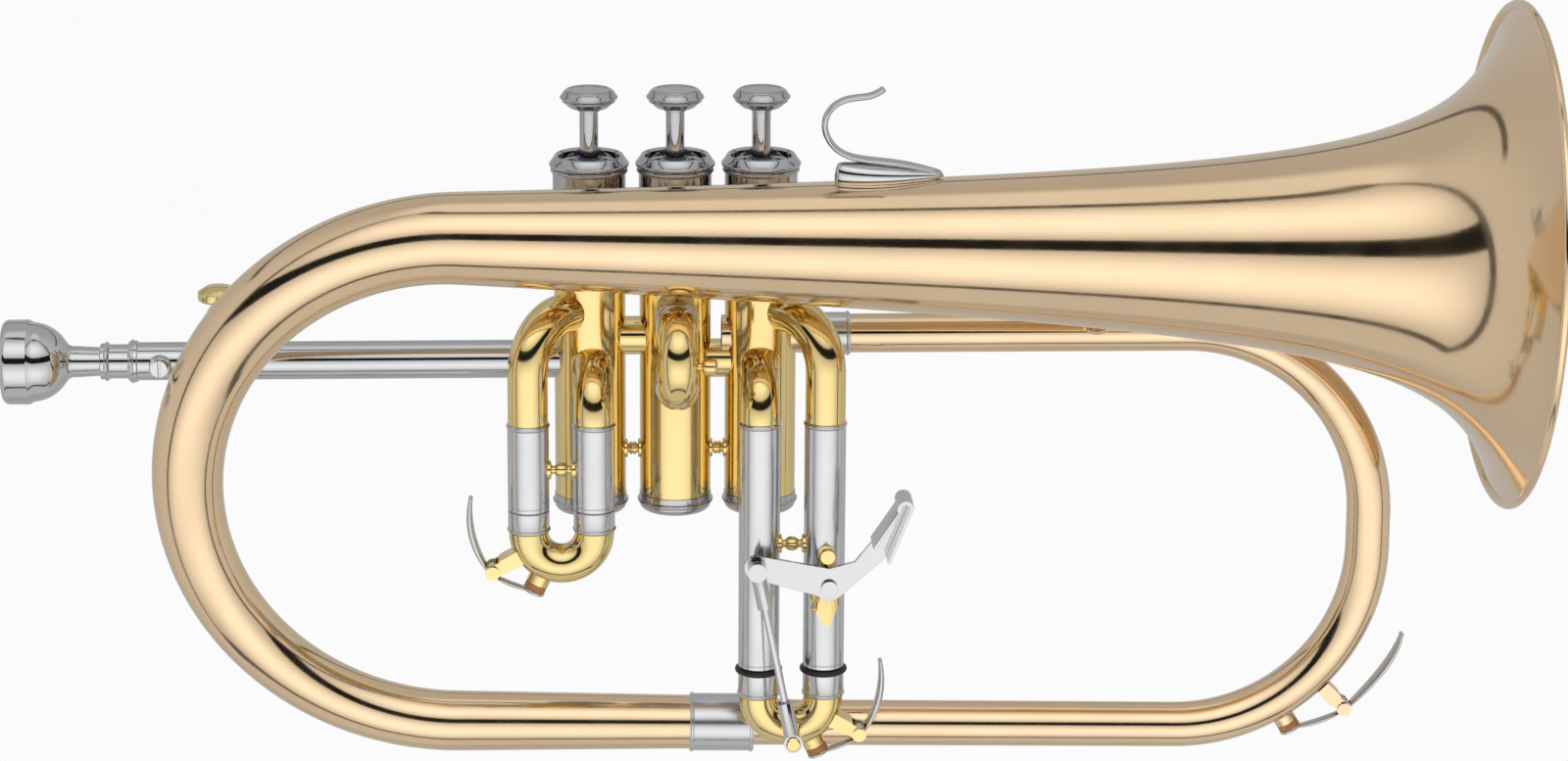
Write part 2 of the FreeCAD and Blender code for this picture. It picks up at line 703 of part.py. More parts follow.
def valve_block():
    for valve in CASING_STATIONS:
        valve_casing(valve)
        piston(valve)
        finger_button(valve)
        valve_spring(valve)
    stations = list(CASING_STATIONS.items())
    keep("top_caps", grouped("top_caps", [top_cap(*entry) for entry in stations]))
    keep("bottom_caps", grouped("bottom_caps", [bottom_cap(*entry) for entry in stations]))
    felts = [ring(f"felt_{valve}", size("felt_radius"), size("stem_radius") + 0.5,
                  size("cap_floor"), size("cap_floor") + size("felt_thickness"),
                  Placement(at(station, 0, 0), Rotation()))
             for valve, station in stations]
    keep("cap_felts", grouped("cap_felts", felts))
    tubes = []
    for valve, height in ((1, size("crossover_first")), (2, size("crossover_second"))):
        start = CASING_STATIONS[valve]
        tube = ring(f"crossover_{valve}_tube", size("crossover_radius"), size("port_radius"),
                    0, size("valve_pitch"), along_x(at(start, 0, height)))
        blocks = [casing_block(f"crossover_{valve}_seat_{end}", valve + end) for end in (0, 1)]
        tubes.append(cut(f"crossover_{valve}", tube, *blocks))
    keep("crossover_tubes", grouped("crossover_tubes", tubes))
    bars = [stay(f"stay_{valve}", CASING_STATIONS[valve], CASING_STATIONS[valve + 1],
                 0, -size("stay_drop"), size("casing_radius")) for valve in (1, 2)]
    keep("casing_stays", grouped("casing_stays", bars))


# ---------------------------------------------------------------- slides

def knuckle(valve, label, leg, port, bend):
    """Bent tube from a port down to the top of a slide sleeve."""
    station = CASING_STATIONS[valve]
    reach = distance(leg - station, size("slide_plane"))
    route = [(0, 0), (reach - bend, 0), (reach, -bend, reach - bend, -bend, -1)]
    drop = size("sleeve_top") + port
    if (drop - bend).number > 0.01:
        route.append((reach, -drop))
    place = placed(at(station, 0, port), towards_leg(valve, leg), Z_AXIS)
    outer = size("knuckle_radius")
    tube = piped(f"knuckle_{valve}_{label}_tube", route, outer, outer - size("knuckle_wall"), place)
    return cut(f"knuckle_{valve}_{label}", tube, casing_block(f"knuckle_{valve}_{label}_seat", valve))


def sleeve(name, leg, end):
    bore = size("inner_radius") + size("slide_clearance")
    place = Placement(at(leg, -size("slide_plane"), 0), Rotation())
    bead = size("sleeve_radius") + size("ferrule_bead")
    top = -size("sleeve_top")
    return turned(name, [
        (bore, -end),
        (size("sleeve_radius"), -end),
        (size("sleeve_radius"), top - 1.3),
        (bead, top - 1.3),
        (bead, top - 0.3),
        (size("sleeve_radius"), top),
        (bore, top),
    ], place)


def slide_leg(name, outline_end, shoulder, top, place):
    """Inner leg with the ferrule that stops it against its sleeve."""
    bore = size("inner_radius") - size("inner_wall")
    bead = size("sleeve_radius") + size("ferrule_bead")
    return turned(name, [
        (bore, -outline_end),
        (size("sleeve_radius"), -outline_end),
        (bead, 0.3 - outline_end),
        (bead, 1.3 - outline_end),
        (size("sleeve_radius"), 1.3 - outline_end),
        (size("sleeve_radius"), -shoulder),
        (size("inner_radius"), -shoulder),
        (size("inner_radius"), -top),
        (bore, -top),
    ], place)


def slide_bow(name, gap, leg, place):
    half = gap / 2
    route = [(0, 0), (leg, 0), (leg, -gap, leg, -half, -1), (0, -gap)]
    return piped(name, route, size("bow_radius"), size("bow_radius") - size("bow_wall"), place)


def hanging_bow(name, valve, start):
    """Bow below the two upright legs of a slide."""
    left = min(leg_stations(valve), key=lambda leg: leg.number)
    place = placed(at(left, -size("slide_plane"), -start), -Z_AXIS, -X_AXIS)
    return slide_bow(name, size("slide_gap"), size("bow_leg"), place)


def upright_slide(valve, word, end, start, shoulder, engagement, stay_height):
    inner, outer = leg_stations(valve)
    lower = knuckle(valve, "lower", inner, size("lower_port"), size("sleeve_top") + size("lower_port"))
    upper = knuckle(valve, "upper", outer, size("upper_port"), size("upper_bend"))
    keep(f"{word}_knuckles", grouped(f"{word}_knuckles", [lower, upper]))
    sleeves = [sleeve(f"{word}_sleeve_{index}", leg, end) for index, leg in enumerate((inner, outer))]
    keep(f"{word}_sleeves", grouped(f"{word}_sleeves", sleeves))
    legs = []
    for index, leg in enumerate((inner, outer)):
        place = Placement(at(leg, -size("slide_plane"), 0), Rotation())
        legs.append(slide_leg(f"{word}_leg_{index}", start, shoulder, end - engagement, place))
    keep(f"{word}_slide_legs", grouped(f"{word}_slide_legs", legs))
    left, right = sorted((inner, outer), key=lambda leg: leg.number)
    return stay(f"{word}_sleeve_stay", left, right, -size("slide_plane"), -stay_height,
                size("sleeve_radius"))


def upright_slides():
    ring_space = 2 * size("o_ring_radius")
    stays = [
        upright_slide(1, "first", size("first_sleeve_end"), size("first_bow_start"),
                      size("first_sleeve_end") + size("stop_gap"), size("leg_engagement"),
                      size("sleeve_stay_first")),
        upright_slide(3, "third", size("third_sleeve_end"), size("third_bow_start"),
                      size("third_sleeve_end") + size("stop_gap") + ring_space + 0.02,
                      size("third_engagement"), size("sleeve_stay_third")),
    ]
    keep("sleeve_stays", grouped("sleeve_stays", stays))
    keep("first_slide_bow", hanging_bow("first_slide_bow", 1, size("first_bow_start")))
    rings = []
    for index, leg in enumerate(leg_stations(3)):
        rubber = doc.addObject("Part::Torus", f"o_ring_{index}")
        bind(rubber, "Radius1", size("inner_radius") + size("o_ring_radius") + 0.02)
        bind(rubber, "Radius2", size("o_ring_radius"))
        height = size("third_sleeve_end") + size("stop_gap") + size("o_ring_radius")
        rubber.Placement = Placement(at(leg, -size("slide_plane"), -height), Rotation())
        rings.append(rubber)
    keep("third_slide_o_rings", grouped("third_slide_o_rings", rings))
    bow = hanging_bow("third_bow_tube", 3, size("third_bow_start"))
    front = size("trigger_plane") + size("trigger_thickness")
    lug_start = size("slide_plane") + size("bow_radius") - 1
    lug = cylinder("third_bow_lug", size("rod_end_radius") + 0.4, front - lug_start,
                   towards_front(at(size("rod_foot_x"), -lug_start, -size("rod_foot_z"))))
    pin = cylinder("third_bow_pin", size("pin_radius"), size("rod_end_radius") * 2 + 1.3,
                   towards_front(at(size("rod_foot_x"), -front, -size("rod_foot_z"))))
    head = cylinder("third_bow_pin_head", size("pin_radius") + 1.0, 0.9,
                    towards_front(at(size("rod_foot_x"), -(front + size("rod_end_radius") * 2 + 0.9),
                                     -size("rod_foot_z"))))
    keep("third_slide_bow", fused("third_slide_bow", bow, lug, pin, head))


def second_slide():
    upper = size("second_upper_port")
    bore = size("inner_radius") + size("slide_clearance")
    heights = (upper, upper - size("second_gap"))
    sleeves = []
    legs = []
    for index, height in enumerate(heights):
        tube = ring(f"second_sleeve_{index}_tube", size("sleeve_radius"), bore,
                    0, size("second_sleeve_end"), towards_front(at(0, 0, height)))
        block = casing_block(f"second_sleeve_{index}_seat", 2)
        sleeves.append(cut(f"second_sleeve_{index}", tube, block))
        place = placed(at(0, 0, height), X_AXIS, Y_AXIS)
        legs.append(slide_leg(f"second_leg_{index}", size("second_bow_start"),
                              size("second_sleeve_end") + size("stop_gap"),
                              size("casing_radius") + 0.8, place))
    keep("second_sleeves", grouped("second_sleeves", sleeves))
    keep("second_slide_legs", grouped("second_slide_legs", legs))
    place = placed(at(0, -size("second_bow_start"), upper), -Y_AXIS, Z_AXIS)
    bow = slide_bow("second_bow_tube", size("second_gap"), size("bow_leg"), place)
    centre = upper - size("second_gap") / 2
    front = size("second_bow_start") + size("bow_leg") + size("second_gap") / 2
    stalk_start = size("bow_radius") - 0.6
    stalk = cylinder("pull_knob_stalk", 1.1, 2.2, along_x(at(stalk_start, -front, centre)))
    knob = turned("pull_knob", [
        (0, 0), (1.1, 0), (size("pull_knob_radius") - 0.5, 0.6), (size("pull_knob_radius"), 1.4),
        (size("pull_knob_radius"), size("pull_knob_length") - 0.6),
        (size("pull_knob_radius") - 0.6, size("pull_knob_length")), (0, size("pull_knob_length")),
    ], along_x(at(stalk_start + 1.6, -front, centre)))
    keep("second_slide_bow", fused("second_slide_bow", bow, stalk, knob))


# ---------------------------------------------------------------- mouthpipe and mouthpiece

def along_minus_x(position):
    return placed(position, Z_AXIS, -X_AXIS)


def mouthpipe():
    origin = at(0, 0, 0)
    bore = size("tuning_pipe_radius") + size("slide_clearance")
    outer = size("mouthpipe_radius")
    end = size("mouthpipe_end")
    start = size("valve_pitch")
    pipe = turned("mouthpipe_blank", [
        (bore, start), (outer, start), (outer, end - size("collar_width") - 0.4),
        (size("collar_radius"), end - size("collar_width")), (size("collar_radius"), end - 0.4),
        (size("collar_radius") - 0.4, end), (bore, end),
    ], along_minus_x(origin))
    station = -size("screw_station")
    boss = cylinder("mouthpipe_boss", size("screw_boss_radius"), size("screw_boss_height"),
                    towards_front(at(station, 0, 0)))
    clear = cylinder("mouthpipe_bore", bore, 30, along_x(at(station - 15, 0, 0)))
    tapped = cylinder("mouthpipe_screw_hole", 1.5, size("screw_boss_height") + 1,
                      towards_front(at(station, 0, 0)))
    keep("mouthpipe", cut("mouthpipe", fused("mouthpipe_shell", pipe, boss), clear, tapped,
                          casing_block("mouthpipe_seat", 1)))
    front = size("screw_boss_height")
    shank = cylinder("set_screw_shank", 1.45, front - bore - 0.05 + 0.5,
                     towards_front(at(station, -(bore + 0.05), 0)))
    head = cylinder("set_screw_head", size("screw_boss_radius") - 0.6, 1.4,
                    towards_front(at(station, -(front + 0.05), 0)))
    slot = doc.addObject("Part::Box", "set_screw_slot")
    slot.Length = 0.7
    slot.Width = 1.0
    slot.Height = 8
    slot.Placement = Placement(at(station - 0.35, -(front + 1.8), -4), Rotation())
    keep("set_screw", cut("set_screw", fused("set_screw_blank", shank, head), slot))
    tip = size("tuning_pipe_end")
    pipe_radius = size("tuning_pipe_radius")
    keep("tuning_pipe", turned("tuning_pipe", [
        (size("tuning_pipe_bore"), end - size("tuning_pipe_reach")),
        (pipe_radius, end - size("tuning_pipe_reach")), (pipe_radius, tip - 2.6),
        (pipe_radius + 0.7, tip - 2.3), (pipe_radius + 0.7, tip - 0.3), (pipe_radius + 0.4, tip),
        (size("tuning_pipe_bore"), tip),
    ], along_minus_x(origin)))


def mouthpiece():
    tip = size("tuning_pipe_end") - size("shank_depth")
    outer = size("rim_radius") - 0.5
    neck = size("cup_neck_radius")
    rise = Size(math.sqrt(outer.number ** 2 - neck.number ** 2),
                f"sqrt({outer.text} ^ 2 - {neck.text} ^ 2)")
    cup = size("cup_start")
    face = size("rim_start")
    rim = size("rim_radius")
    bore = size("rim_bore")
    throat = size("throat_radius")
    keep("mouthpiece", turned("mouthpiece", [
        (size("backbore_radius"), tip),
        (size("shank_tip_radius"), tip),
        (size("shank_radius"), size("tuning_pipe_end")),
        (neck, cup - rise - 2.5),
        (neck, cup - rise),
        (outer, cup, 0, cup, 1),
        (rim, cup + 0.5),
        (rim, face - 2.2),
        (rim - 2.2, face, rim - 2.2, face - 2.2, 1),
        (bore + 1.6, face),
        (bore, face - 1.6, bore + 1.6, face - 1.6, 1),
        (bore - 1.6, cup - 1),
        (throat, cup - 12.5),
        (throat, cup - 15),
    ], along_minus_x(at(0, 0, 0))))


# ---------------------------------------------------------------- bell and main tubing

TILT = math.radians(mm("bell_tilt"))
BELL_AXIS = Vector(math.cos(TILT), 0, -math.sin(TILT))
MOUTH = at(size("bell_mouth"), -size("bell_plane"), size("bell_mouth_height"))
TAIL = MOUTH - BELL_AXIS * mm("bell_length")


def flare_radius(station):
    """Outer radius of the bell, station counted back from the rim."""
    def curl(back):
        return (mm("flare_reach") / (mm("flare_reach") + back)) ** mm("flare_power")

    length = mm("bell_length")
    swing = mm("bell_rim_radius") - mm("bell_tail_radius") - mm("cone_slope") * length
    return (mm("bell_rim_radius") - mm("cone_slope") * station
            - swing * (1 - curl(station)) / (1 - curl(length)))


def bell_flare():
    length = mm("bell_length")
    steps = 22
    stations = [length * (1 - math.sin(0.5 * math.pi * step / steps) ** 0.8) for step in range(steps)]
    stations.append(0.0)
    outer = [Vector(flare_radius(back), 0, -back) for back in stations]
    curve = Part.BSplineCurve()
    curve.interpolate(outer)
    skin = curve.toShape()
    wall = mm("bell_wall")
    inner_points = []
    for back, point in zip(stations, outer):
        slope = (flare_radius(max(back - 0.01, 0)) - flare_radius(back + 0.01)) / (
            min(back, 0.01) + 0.01)
        normal = Vector(-1, 0, slope).normalize()
        inner_points.append(point + normal * wall)
    inner_points[0] = Vector(outer[0].x - wall, 0, outer[0].z)
    inner_curve = Part.BSplineCurve()
    inner_curve.interpolate(inner_points)
    lining = inner_curve.toShape()
    edges = [skin, Part.makeLine(outer[-1], inner_points[-1]), lining,
             Part.makeLine(inner_points[0], outer[0])]
    face = Part.Face(Part.Wire(Part.__sortEdges__(edges)))
    solid = face.revolve(Vector(0, 0, 0), Z_AXIS, 360)
    place = placed(MOUTH, Vector(0, 1, 0), BELL_AXIS)
    flare = keep("bell_flare", made("bell_flare", solid, place))
    bead = doc.addObject("Part::Torus", "bell_rim_bead")
    bind(bead, "Radius1", size("bell_rim_radius") - 0.1)
    bind(bead, "Radius2", size("rim_wire"))
    bead.Placement = place
    keep("bell_rim_wire", cut("bell_rim_wire", bead, flare))


def section(centre, heading, side, radius):
    """Circle across a tube; side is kept as its seam's direction."""
    circle = Part.makeCircle(radius)
    circle.Placement = placed(centre, side, heading)
    return Part.Wire(circle)


def bend_sections(centre, start, turn, radius, angle, tube):
    """Sections round an arc from start towards turn; tube gives the radius for 0..1."""
    side = start.cross(turn)
    steps = max(2, round(angle / 11.25))
    found = []
    for step in range(steps + 1):
        share = step / steps
        swing = math.radians(angle * share)
        spot = centre + (start * math.cos(swing) + turn * math.sin(swing)) * radius
        heading = turn * math.cos(swing) - start * math.sin(swing)
        found.append((spot, heading, side, tube(share)))
    return found


def hollow_run(name, runs, wall):
    """Tube through runs of sections; a run of two is straight, a longer one is a bend."""
    skins = []
    for inset in (0, wall):
        solids = []
        for run in runs:
            wires = [section(spot, heading, side, radius - inset)
                     for spot, heading, side, radius in run]
            solids.append(Part.makeLoft(wires, True, len(run) == 2))
        whole = solids[0]
        for solid in solids[1:]:
            whole = whole.fuse(solid)
        skins.append(whole)
    return made(name, skins[0].cut(skins[1]))


def through_three(first, middle, last):
    """Smooth radius from first at 0, through middle at a half, to last at 1."""
    curve = 2 * (first + last) - 4 * middle
    slope = last - first - curve
    return lambda share: first + slope * share + curve * share * share


def main_tubing():
    up = Vector(0, -mm("bow_depth"), mm("bow_drop"))
    up = (up - BELL_AXIS * up.dot(BELL_AXIS)).normalize()
    bow_bend = math.hypot(mm("bow_drop"), mm("bow_depth")) / 2
    centre = TAIL - up * bow_bend
    tube = through_three(mm("bell_tail_radius"), mm("bow_side_radius"), mm("bow_foot_radius"))
    bow = bend_sections(centre, up, -BELL_AXIS, bow_bend, 180, tube)
    foot = bow[-1][0]
    rise = Vector(0, mm("bell_plane") - mm("bow_depth"), 0)
    lift = mm("branch_side") + 2 * mm("branch_bend")
    branch_up = Vector(0, rise.y, math.sqrt(lift ** 2 - rise.y ** 2)).normalize()
    exit_end = at(size("branch_station"), 0, size("exit_height"))
    top_centre = exit_end - branch_up * mm("branch_bend")
    side_centre = top_centre - branch_up * mm("branch_side")
    landing = side_centre - branch_up * mm("branch_bend")
    slope = math.degrees(math.atan2(foot.z - landing.z, landing.x - foot.x))
    half = through_three(mm("branch_top_radius"), mm("branch_side_radius"), mm("branch_foot_radius"))
    upper = bend_sections(top_centre, branch_up, X_AXIS, mm("branch_bend"), 90,
                          lambda share: half(share / 2))
    lower = bend_sections(side_centre, X_AXIS, -branch_up, mm("branch_bend"), 90 + slope,
                          lambda share: half(0.5 + share / 2))
    low_end = lower[-1][0]
    run = (low_end - foot).normalize()
    ferrule_start = foot + run * ((mm("ferrule_station") - foot.x) / run.x)
    middle = ferrule_start + run * (mm("ferrule_length") / 2)
    gap = run * 0.05
    bow_side = bow[-1][2]
    large_end = (middle - gap, run, bow_side, mm("ferrule_tube_radius"))
    keep("bell_bow", hollow_run("bell_bow", [bow, [bow[-1], large_end]], mm("bell_wall")))
    branch_side = lower[-1][2]
    small_end = (middle + gap, -run, branch_side, mm("branch_tube_radius"))
    valve_end = (at(size("valve_pitch"), 0, size("exit_height")), X_AXIS, upper[0][2],
                 mm("branch_exit_radius"))
    runs = [[valve_end, upper[0]], upper, [upper[-1], lower[0]], lower, [lower[-1], small_end]]
    tubing = hollow_run("main_branch_tube", runs, mm("bell_wall"))
    keep("main_branch", cut("main_branch", tubing, casing_block("main_branch_seat", 3)))
    ferrule = size("ferrule_radius")
    length = size("ferrule_length")
    half_length = length / 2
    bead = ferrule + 0.35
    keep("bow_ferrule", turned("bow_ferrule", [
        (size("ferrule_tube_radius") + 0.12, 0), (ferrule, 0), (bead, 0.3), (bead, 1.3),
        (ferrule, 1.6), (ferrule, length - 1.6), (bead, length - 1.3), (bead, length - 0.3),
        (ferrule, length), (size("branch_tube_radius") + 0.06, length),
        (size("branch_tube_radius") + 0.06, half_length),
        (size("ferrule_tube_radius") + 0.12, half_length),
    ], placed(ferrule_start, bow_side, run)))
    outer = size("exit_ferrule_radius")
    end = size("exit_ferrule_length")
    keep("exit_ferrule", turned("exit_ferrule", [
        (size("branch_exit_radius") + 0.06, 0), (outer, 0), (outer, end - 1.3),
        (outer + 0.35, end - 1.1), (outer + 0.35, end - 0.3), (outer, end),
        (size("branch_exit_radius") + 0.06, end),
    ], along_x(at(size("exit_ferrule_station"), 0, size("exit_height")))))
    return side_centre


# ---------------------------------------------------------------- trigger of the third slide

def arc_band(first, middle, last, thickness, width, place):
    """Curved strip through three points of its local XY plane, width along +Z."""
    arc = Part.Circle(first, middle, last)
    centre = arc.Center
    chains = []
    for offset in (-0.5, 0.5):
        share = 1 + offset * thickness / arc.Radius
        points = [centre + (point - centre) * share for point in (first, middle, last)]
        chains.append(points)
    near = Part.Arc(*chains[0]).toShape()
    far = Part.Arc(*chains[1]).toShape()
    ends = [Part.makeLine(chains[0][index], chains[1][index]) for index in (0, 2)]
    face = Part.Face(Part.Wire(Part.__sortEdges__([near, ends[1], far, ends[0]])))
    band = face.extrude(Vector(0, 0, width))
    band.Placement = place
    return band


def bar_between(start, finish, radius):
    span = finish - start
    return Part.makeCylinder(radius, span.Length, start, span)


def trigger():
    plane = size("trigger_plane")
    thick = size("trigger_thickness")
    pivot = at(size("trigger_x"), -plane, -size("trigger_z"))
    arm_x = size("rod_top_x") - size("trigger_x")
    arm_z = size("trigger_z") - size("rod_top_z")
    end = 3.8
    hole = size("pin_radius") + size("pin_clearance")
    blade = plate("trigger_plate", [
        (arm_x, arm_z - end, arm_x, arm_z, 1), (-3.6, -2.4), (3.6, -2.4, 0, 1.0, 1),
        (17.6, 10.0), (24.2, 26.4), (21.3, 26.4), (12.6, 14.6), (7.6, 8.3), (0, 6.2),
        (arm_x, arm_z + end),
    ], thick, towards_front(pivot), [(0, 0, hole), (arm_x, arm_z, 2.3)])
    saddle_back = plane - size("slide_plane") - size("sleeve_radius") - 0.4
    saddle_place = towards_front(pivot + Y_AXIS * saddle_back.number)
    saddle = plate("trigger_saddle", [
        (20.0, 25.8), (24.9, 27.3, 22.5, 26.9, -1), (18.0, 9.6), (17.0, 10.0),
        (23.6, 27.0), (21.2, 26.6, 22.4, 26.9, 1), (13.4, 14.0), (12.6, 14.6),
    ], size("saddle_width"), saddle_place)
    keep("trigger_lever", fused("trigger_lever", blade, saddle))
    leg = leg_stations(3)[1]
    axis = at(leg, -size("slide_plane"), 0)
    back = size("slide_plane")
    shell = ring("bracket_shell", size("sleeve_radius") + 1.1, size("sleeve_radius"),
                 -80, -50, Placement(axis, Rotation()))
    shield = plate("bracket_shield", [
        (-6.4, 3.6), (-5.6, -3.4), (-1.6, -12.6), (1.6, -12.6, 0, -11.8, 1), (5.4, -3.4), (6.0, 3.6),
        (2.6, 5.0), (2.6, 9.4), (-2.6, 9.4, 0, 9.4, 1), (-2.6, 5.0),
    ], 12, towards_front(at(size("trigger_x") - 0.6, -back, -size("trigger_z"))))
    saddle_plate = doc.addObject("Part::Common", "bracket_saddle")
    saddle_plate.Base = shell
    saddle_plate.Tool = shield
    post_start = back + 4.0
    post = cylinder("bracket_post", 2.4, plane - post_start - 0.3,
                    towards_front(at(size("trigger_x"), -post_start, -size("trigger_z"))))
    stop = cylinder("bracket_stop", 2.2, plane - post_start - 0.3,
                    towards_front(at(size("trigger_x") - 0.4, -post_start, 9.2 - size("trigger_z"))))
    spur = ball("bracket_spur", 1.2, at(size("trigger_x") - 4.2, -(back + 6.4), -8.2 - size("trigger_z")))
    bore = cylinder("bracket_bore", size("pin_radius"), 10,
                    towards_front(at(size("trigger_x"), -(back + 6.6), -size("trigger_z"))))
    core = cylinder("bracket_core", size("sleeve_radius"), 40, Placement(axis - Z_AXIS * 85, Rotation()))
    keep("trigger_bracket", cut("trigger_bracket",
                                fused("bracket_blank", saddle_plate, post, stop, spur), bore, core))
    pin_start = back + 6.7
    pin = cylinder("trigger_pin", size("pin_radius"), plane + thick + 0.4 - pin_start,
                   towards_front(at(size("trigger_x"), -pin_start, -size("trigger_z"))))
    head = cylinder("trigger_pin_head", size("pin_radius") + 1.4, 1.1,
                    towards_front(at(size("trigger_x"), -(plane + thick + 0.3), -size("trigger_z"))))
    keep("trigger_pivot_screw", fused("trigger_pivot_screw", pin, head))
    coil_plane = -(plane - 1.4)
    coil = Part.makeTorus(3.0, 0.45, Vector(mm("trigger_x"), coil_plane.number, -mm("trigger_z")), Y_AXIS)
    hub = Vector(mm("trigger_x"), coil_plane.number, -mm("trigger_z"))
    legs = [bar_between(hub + Vector(0, 0, 3.0), hub + Vector(-11.8, 0, 1.6), 0.4),
            bar_between(hub + Vector(-3.0, 0, 0), hub + Vector(-4.4, 0, -7.6), 0.4)]
    keep("trigger_spring", made("trigger_spring", coil.fuse(legs[0]).fuse(legs[1])))


def link_rod():
    front = mm("trigger_plane") + mm("trigger_thickness")
    depth = -(front + mm("rod_end_radius") + 0.6)
    top = Vector(mm("rod_top_x"), depth, -mm("rod_top_z"))
    foot = Vector(mm("rod_foot_x"), depth, -mm("rod_foot_z"))
    run = (top - foot).normalize()
    thick = mm("rod_end_radius")
    body = bar_between(foot, top, mm("rod_radius"))
    body = body.fuse(bar_between(top - run * 12.0, top - run * 1.0, thick))
    body = body.fuse(bar_between(foot + run * 1.0, foot + run * 13.0, thick))
    eye_gap = thick + 0.25
    for spot in (top, foot):
        eye = Part.makeCylinder(thick + 0.6, 2 * eye_gap, spot + Y_AXIS * eye_gap, -Y_AXIS)
        body = body.fuse(eye)
    hole = mm("pin_radius") + mm("pin_clearance")
    body = body.cut(Part.makeCylinder(hole, 12, foot + Y_AXIS * 6, -Y_AXIS))
    back = mm("trigger_plane") - 0.5
    pin = bar_between(Vector(top.x, -back, top.z), Vector(top.x, depth, top.z), mm("pin_radius"))
    body = body.fuse(pin)
    keep("link_rod", made("link_rod", body))


# ---------------------------------------------------------------- water keys

def water_key(name, centre, bend, tube, swing, side, pivot, tip):
    """Lever, cork and bracket of a water key on the outside of a bow.

    swing is the nipple's angle from straight down and side the way the lever
    runs.  pivot and tip are (along the tube, away from it) from the nipple's seat.
    """
    lean = math.radians(swing)
    out = Vector(side * math.sin(lean), 0, -math.cos(lean))
    along = Vector(side * math.cos(lean), 0, math.sin(lean))
    seat = centre + out * (bend + tube)
    width = mm("key_width")
    sheet_gauge = mm("key_plate")
    nipple_top = mm("nipple_height")
    cork_top = nipple_top + mm("cork_height")

    def spot(point, across=0.0):
        return seat + along * point[0] + out * point[1] + Y_AXIS * across

    ring_core = Part.makeTorus(bend, tube, centre, Y_AXIS)
    nipple = Part.makeCylinder(mm("nipple_radius"), nipple_top + 2, seat - out * 2, out)
    hole = Part.makeCylinder(1.4, nipple_top + 6, seat - out * 3, out)
    screw = spot(pivot, -width / 2 - 1.7)
    ears = []
    reach = (spot(pivot) - centre).normalize()
    for across in (-width / 2 - 1.3, width / 2 + 0.2):
        foot = spot(pivot, across) - reach * ((spot(pivot) - centre).Length - bend)
        ear = Part.makeCylinder(mm("key_pivot_radius") + 0.4, 1.1, spot(pivot, across), Y_AXIS)
        stalk = Part.makeBox(3.6, 1.1, (spot(pivot, across) - foot).Length)
        stalk.Placement = placed(foot - reach.cross(Y_AXIS) * -1.8, reach.cross(Y_AXIS) * -1, reach)
        ears.append(ear.fuse(stalk))
    length = (spot(pivot) - centre).Length - bend - mm("key_pivot_radius") - 1.6
    block = Part.makeBox(4.4, width + 2.6, length)
    corner = spot(pivot, -width / 2 - 1.3) - reach * ((spot(pivot) - centre).Length - bend)
    block.Placement = placed(corner - reach.cross(Y_AXIS) * -2.2, reach.cross(Y_AXIS) * -1, reach)
    pin = Part.makeCylinder(mm("pin_radius"), width + 3.4, screw, Y_AXIS)
    head = Part.makeCylinder(mm("key_pivot_radius") + 0.2, 0.9, screw + Y_AXIS * 0.4, -Y_AXIS)
    bracket = nipple.multiFuse(ears + [block, pin, head]).cut(ring_core).cut(hole)
    keep(f"{name}_bracket", made(f"{name}_bracket", bracket.removeSplitter()))
    cork_place = seat + out * (nipple_top + 0.02)
    cork = Part.makeCylinder(mm("cork_radius"), mm("cork_height") - 0.04, cork_place, out)
    keep(f"{name}_cork", made(f"{name}_cork", cork))
    cup = Part.makeCylinder(mm("cork_radius") + 0.2, sheet_gauge, seat + out * cork_top, out)
    flat = placed(Vector(0, seat.y - width / 2, 0), X_AXIS, Y_AXIS)

    def flatten(point):
        place = spot(point)
        return Vector(place.x, -place.z, 0)

    half = cork_top + sheet_gauge / 2
    barrel_radius = mm("key_pivot_radius")
    near = (pivot[0] - 0.5, pivot[1] + barrel_radius - 0.3)
    arm = arc_band(flatten((0, half)), flatten((pivot[0] * 0.5, half * 0.4 + near[1] * 0.6 + 0.5)),
                   flatten(near), sheet_gauge, width - 1.2, flat)
    arm.translate(Y_AXIS * 0.6)
    bulge = (pivot[0] + (tip[0] - pivot[0]) * 0.62, pivot[1] + (tip[1] - pivot[1]) * 0.36)
    finger = arc_band(flatten(near), flatten(bulge), flatten(tip), sheet_gauge, width, flat)
    barrel = Part.makeCylinder(barrel_radius, width, spot(pivot, -width / 2), Y_AXIS)
    lever = barrel.multiFuse([arm, finger, cup])
    lever = lever.cut(Part.makeCylinder(mm("pin_radius") + mm("pin_clearance"), width + 2,
                                        spot(pivot, -width / 2 - 1), Y_AXIS))
    keep(f"{name}_lever", made(f"{name}_lever", lever.removeSplitter()))
    return spot(pivot)


def water_keys(branch_centre):
    pivots = {}
    half = mm("slide_gap") / 2
    for word, valve, start, side in (("first_key", 1, "first_bow_start", -1),
                                     ("third_key", 3, "third_bow_start", 1)):
        inner, outer = leg_stations(valve)
        middle = (inner.number + outer.number) / 2
        centre = Vector(middle, -mm("slide_plane"), -mm(start) - mm("bow_leg"))
        pivots[word] = water_key(word, centre, half, mm("bow_radius"), 25, side,
                                 (14.0, 3.6), (29.5, -14.6))
    swing = mm("main_key_swing")
    depth = (mm("bell_plane") - mm("bow_depth")) * (0.5 + 0.5 * math.cos(math.radians(swing)))
    centre = Vector(branch_centre.x, -depth, branch_centre.z)
    pivots["main_key"] = water_key("main_key", centre, mm("branch_bend"),
                                   mm("branch_foot_radius") + 0.1, swing, 1,
                                   (17.6, 6.6), (45.0, -4.5))
    return pivots


# ---------------------------------------------------------------- fittings

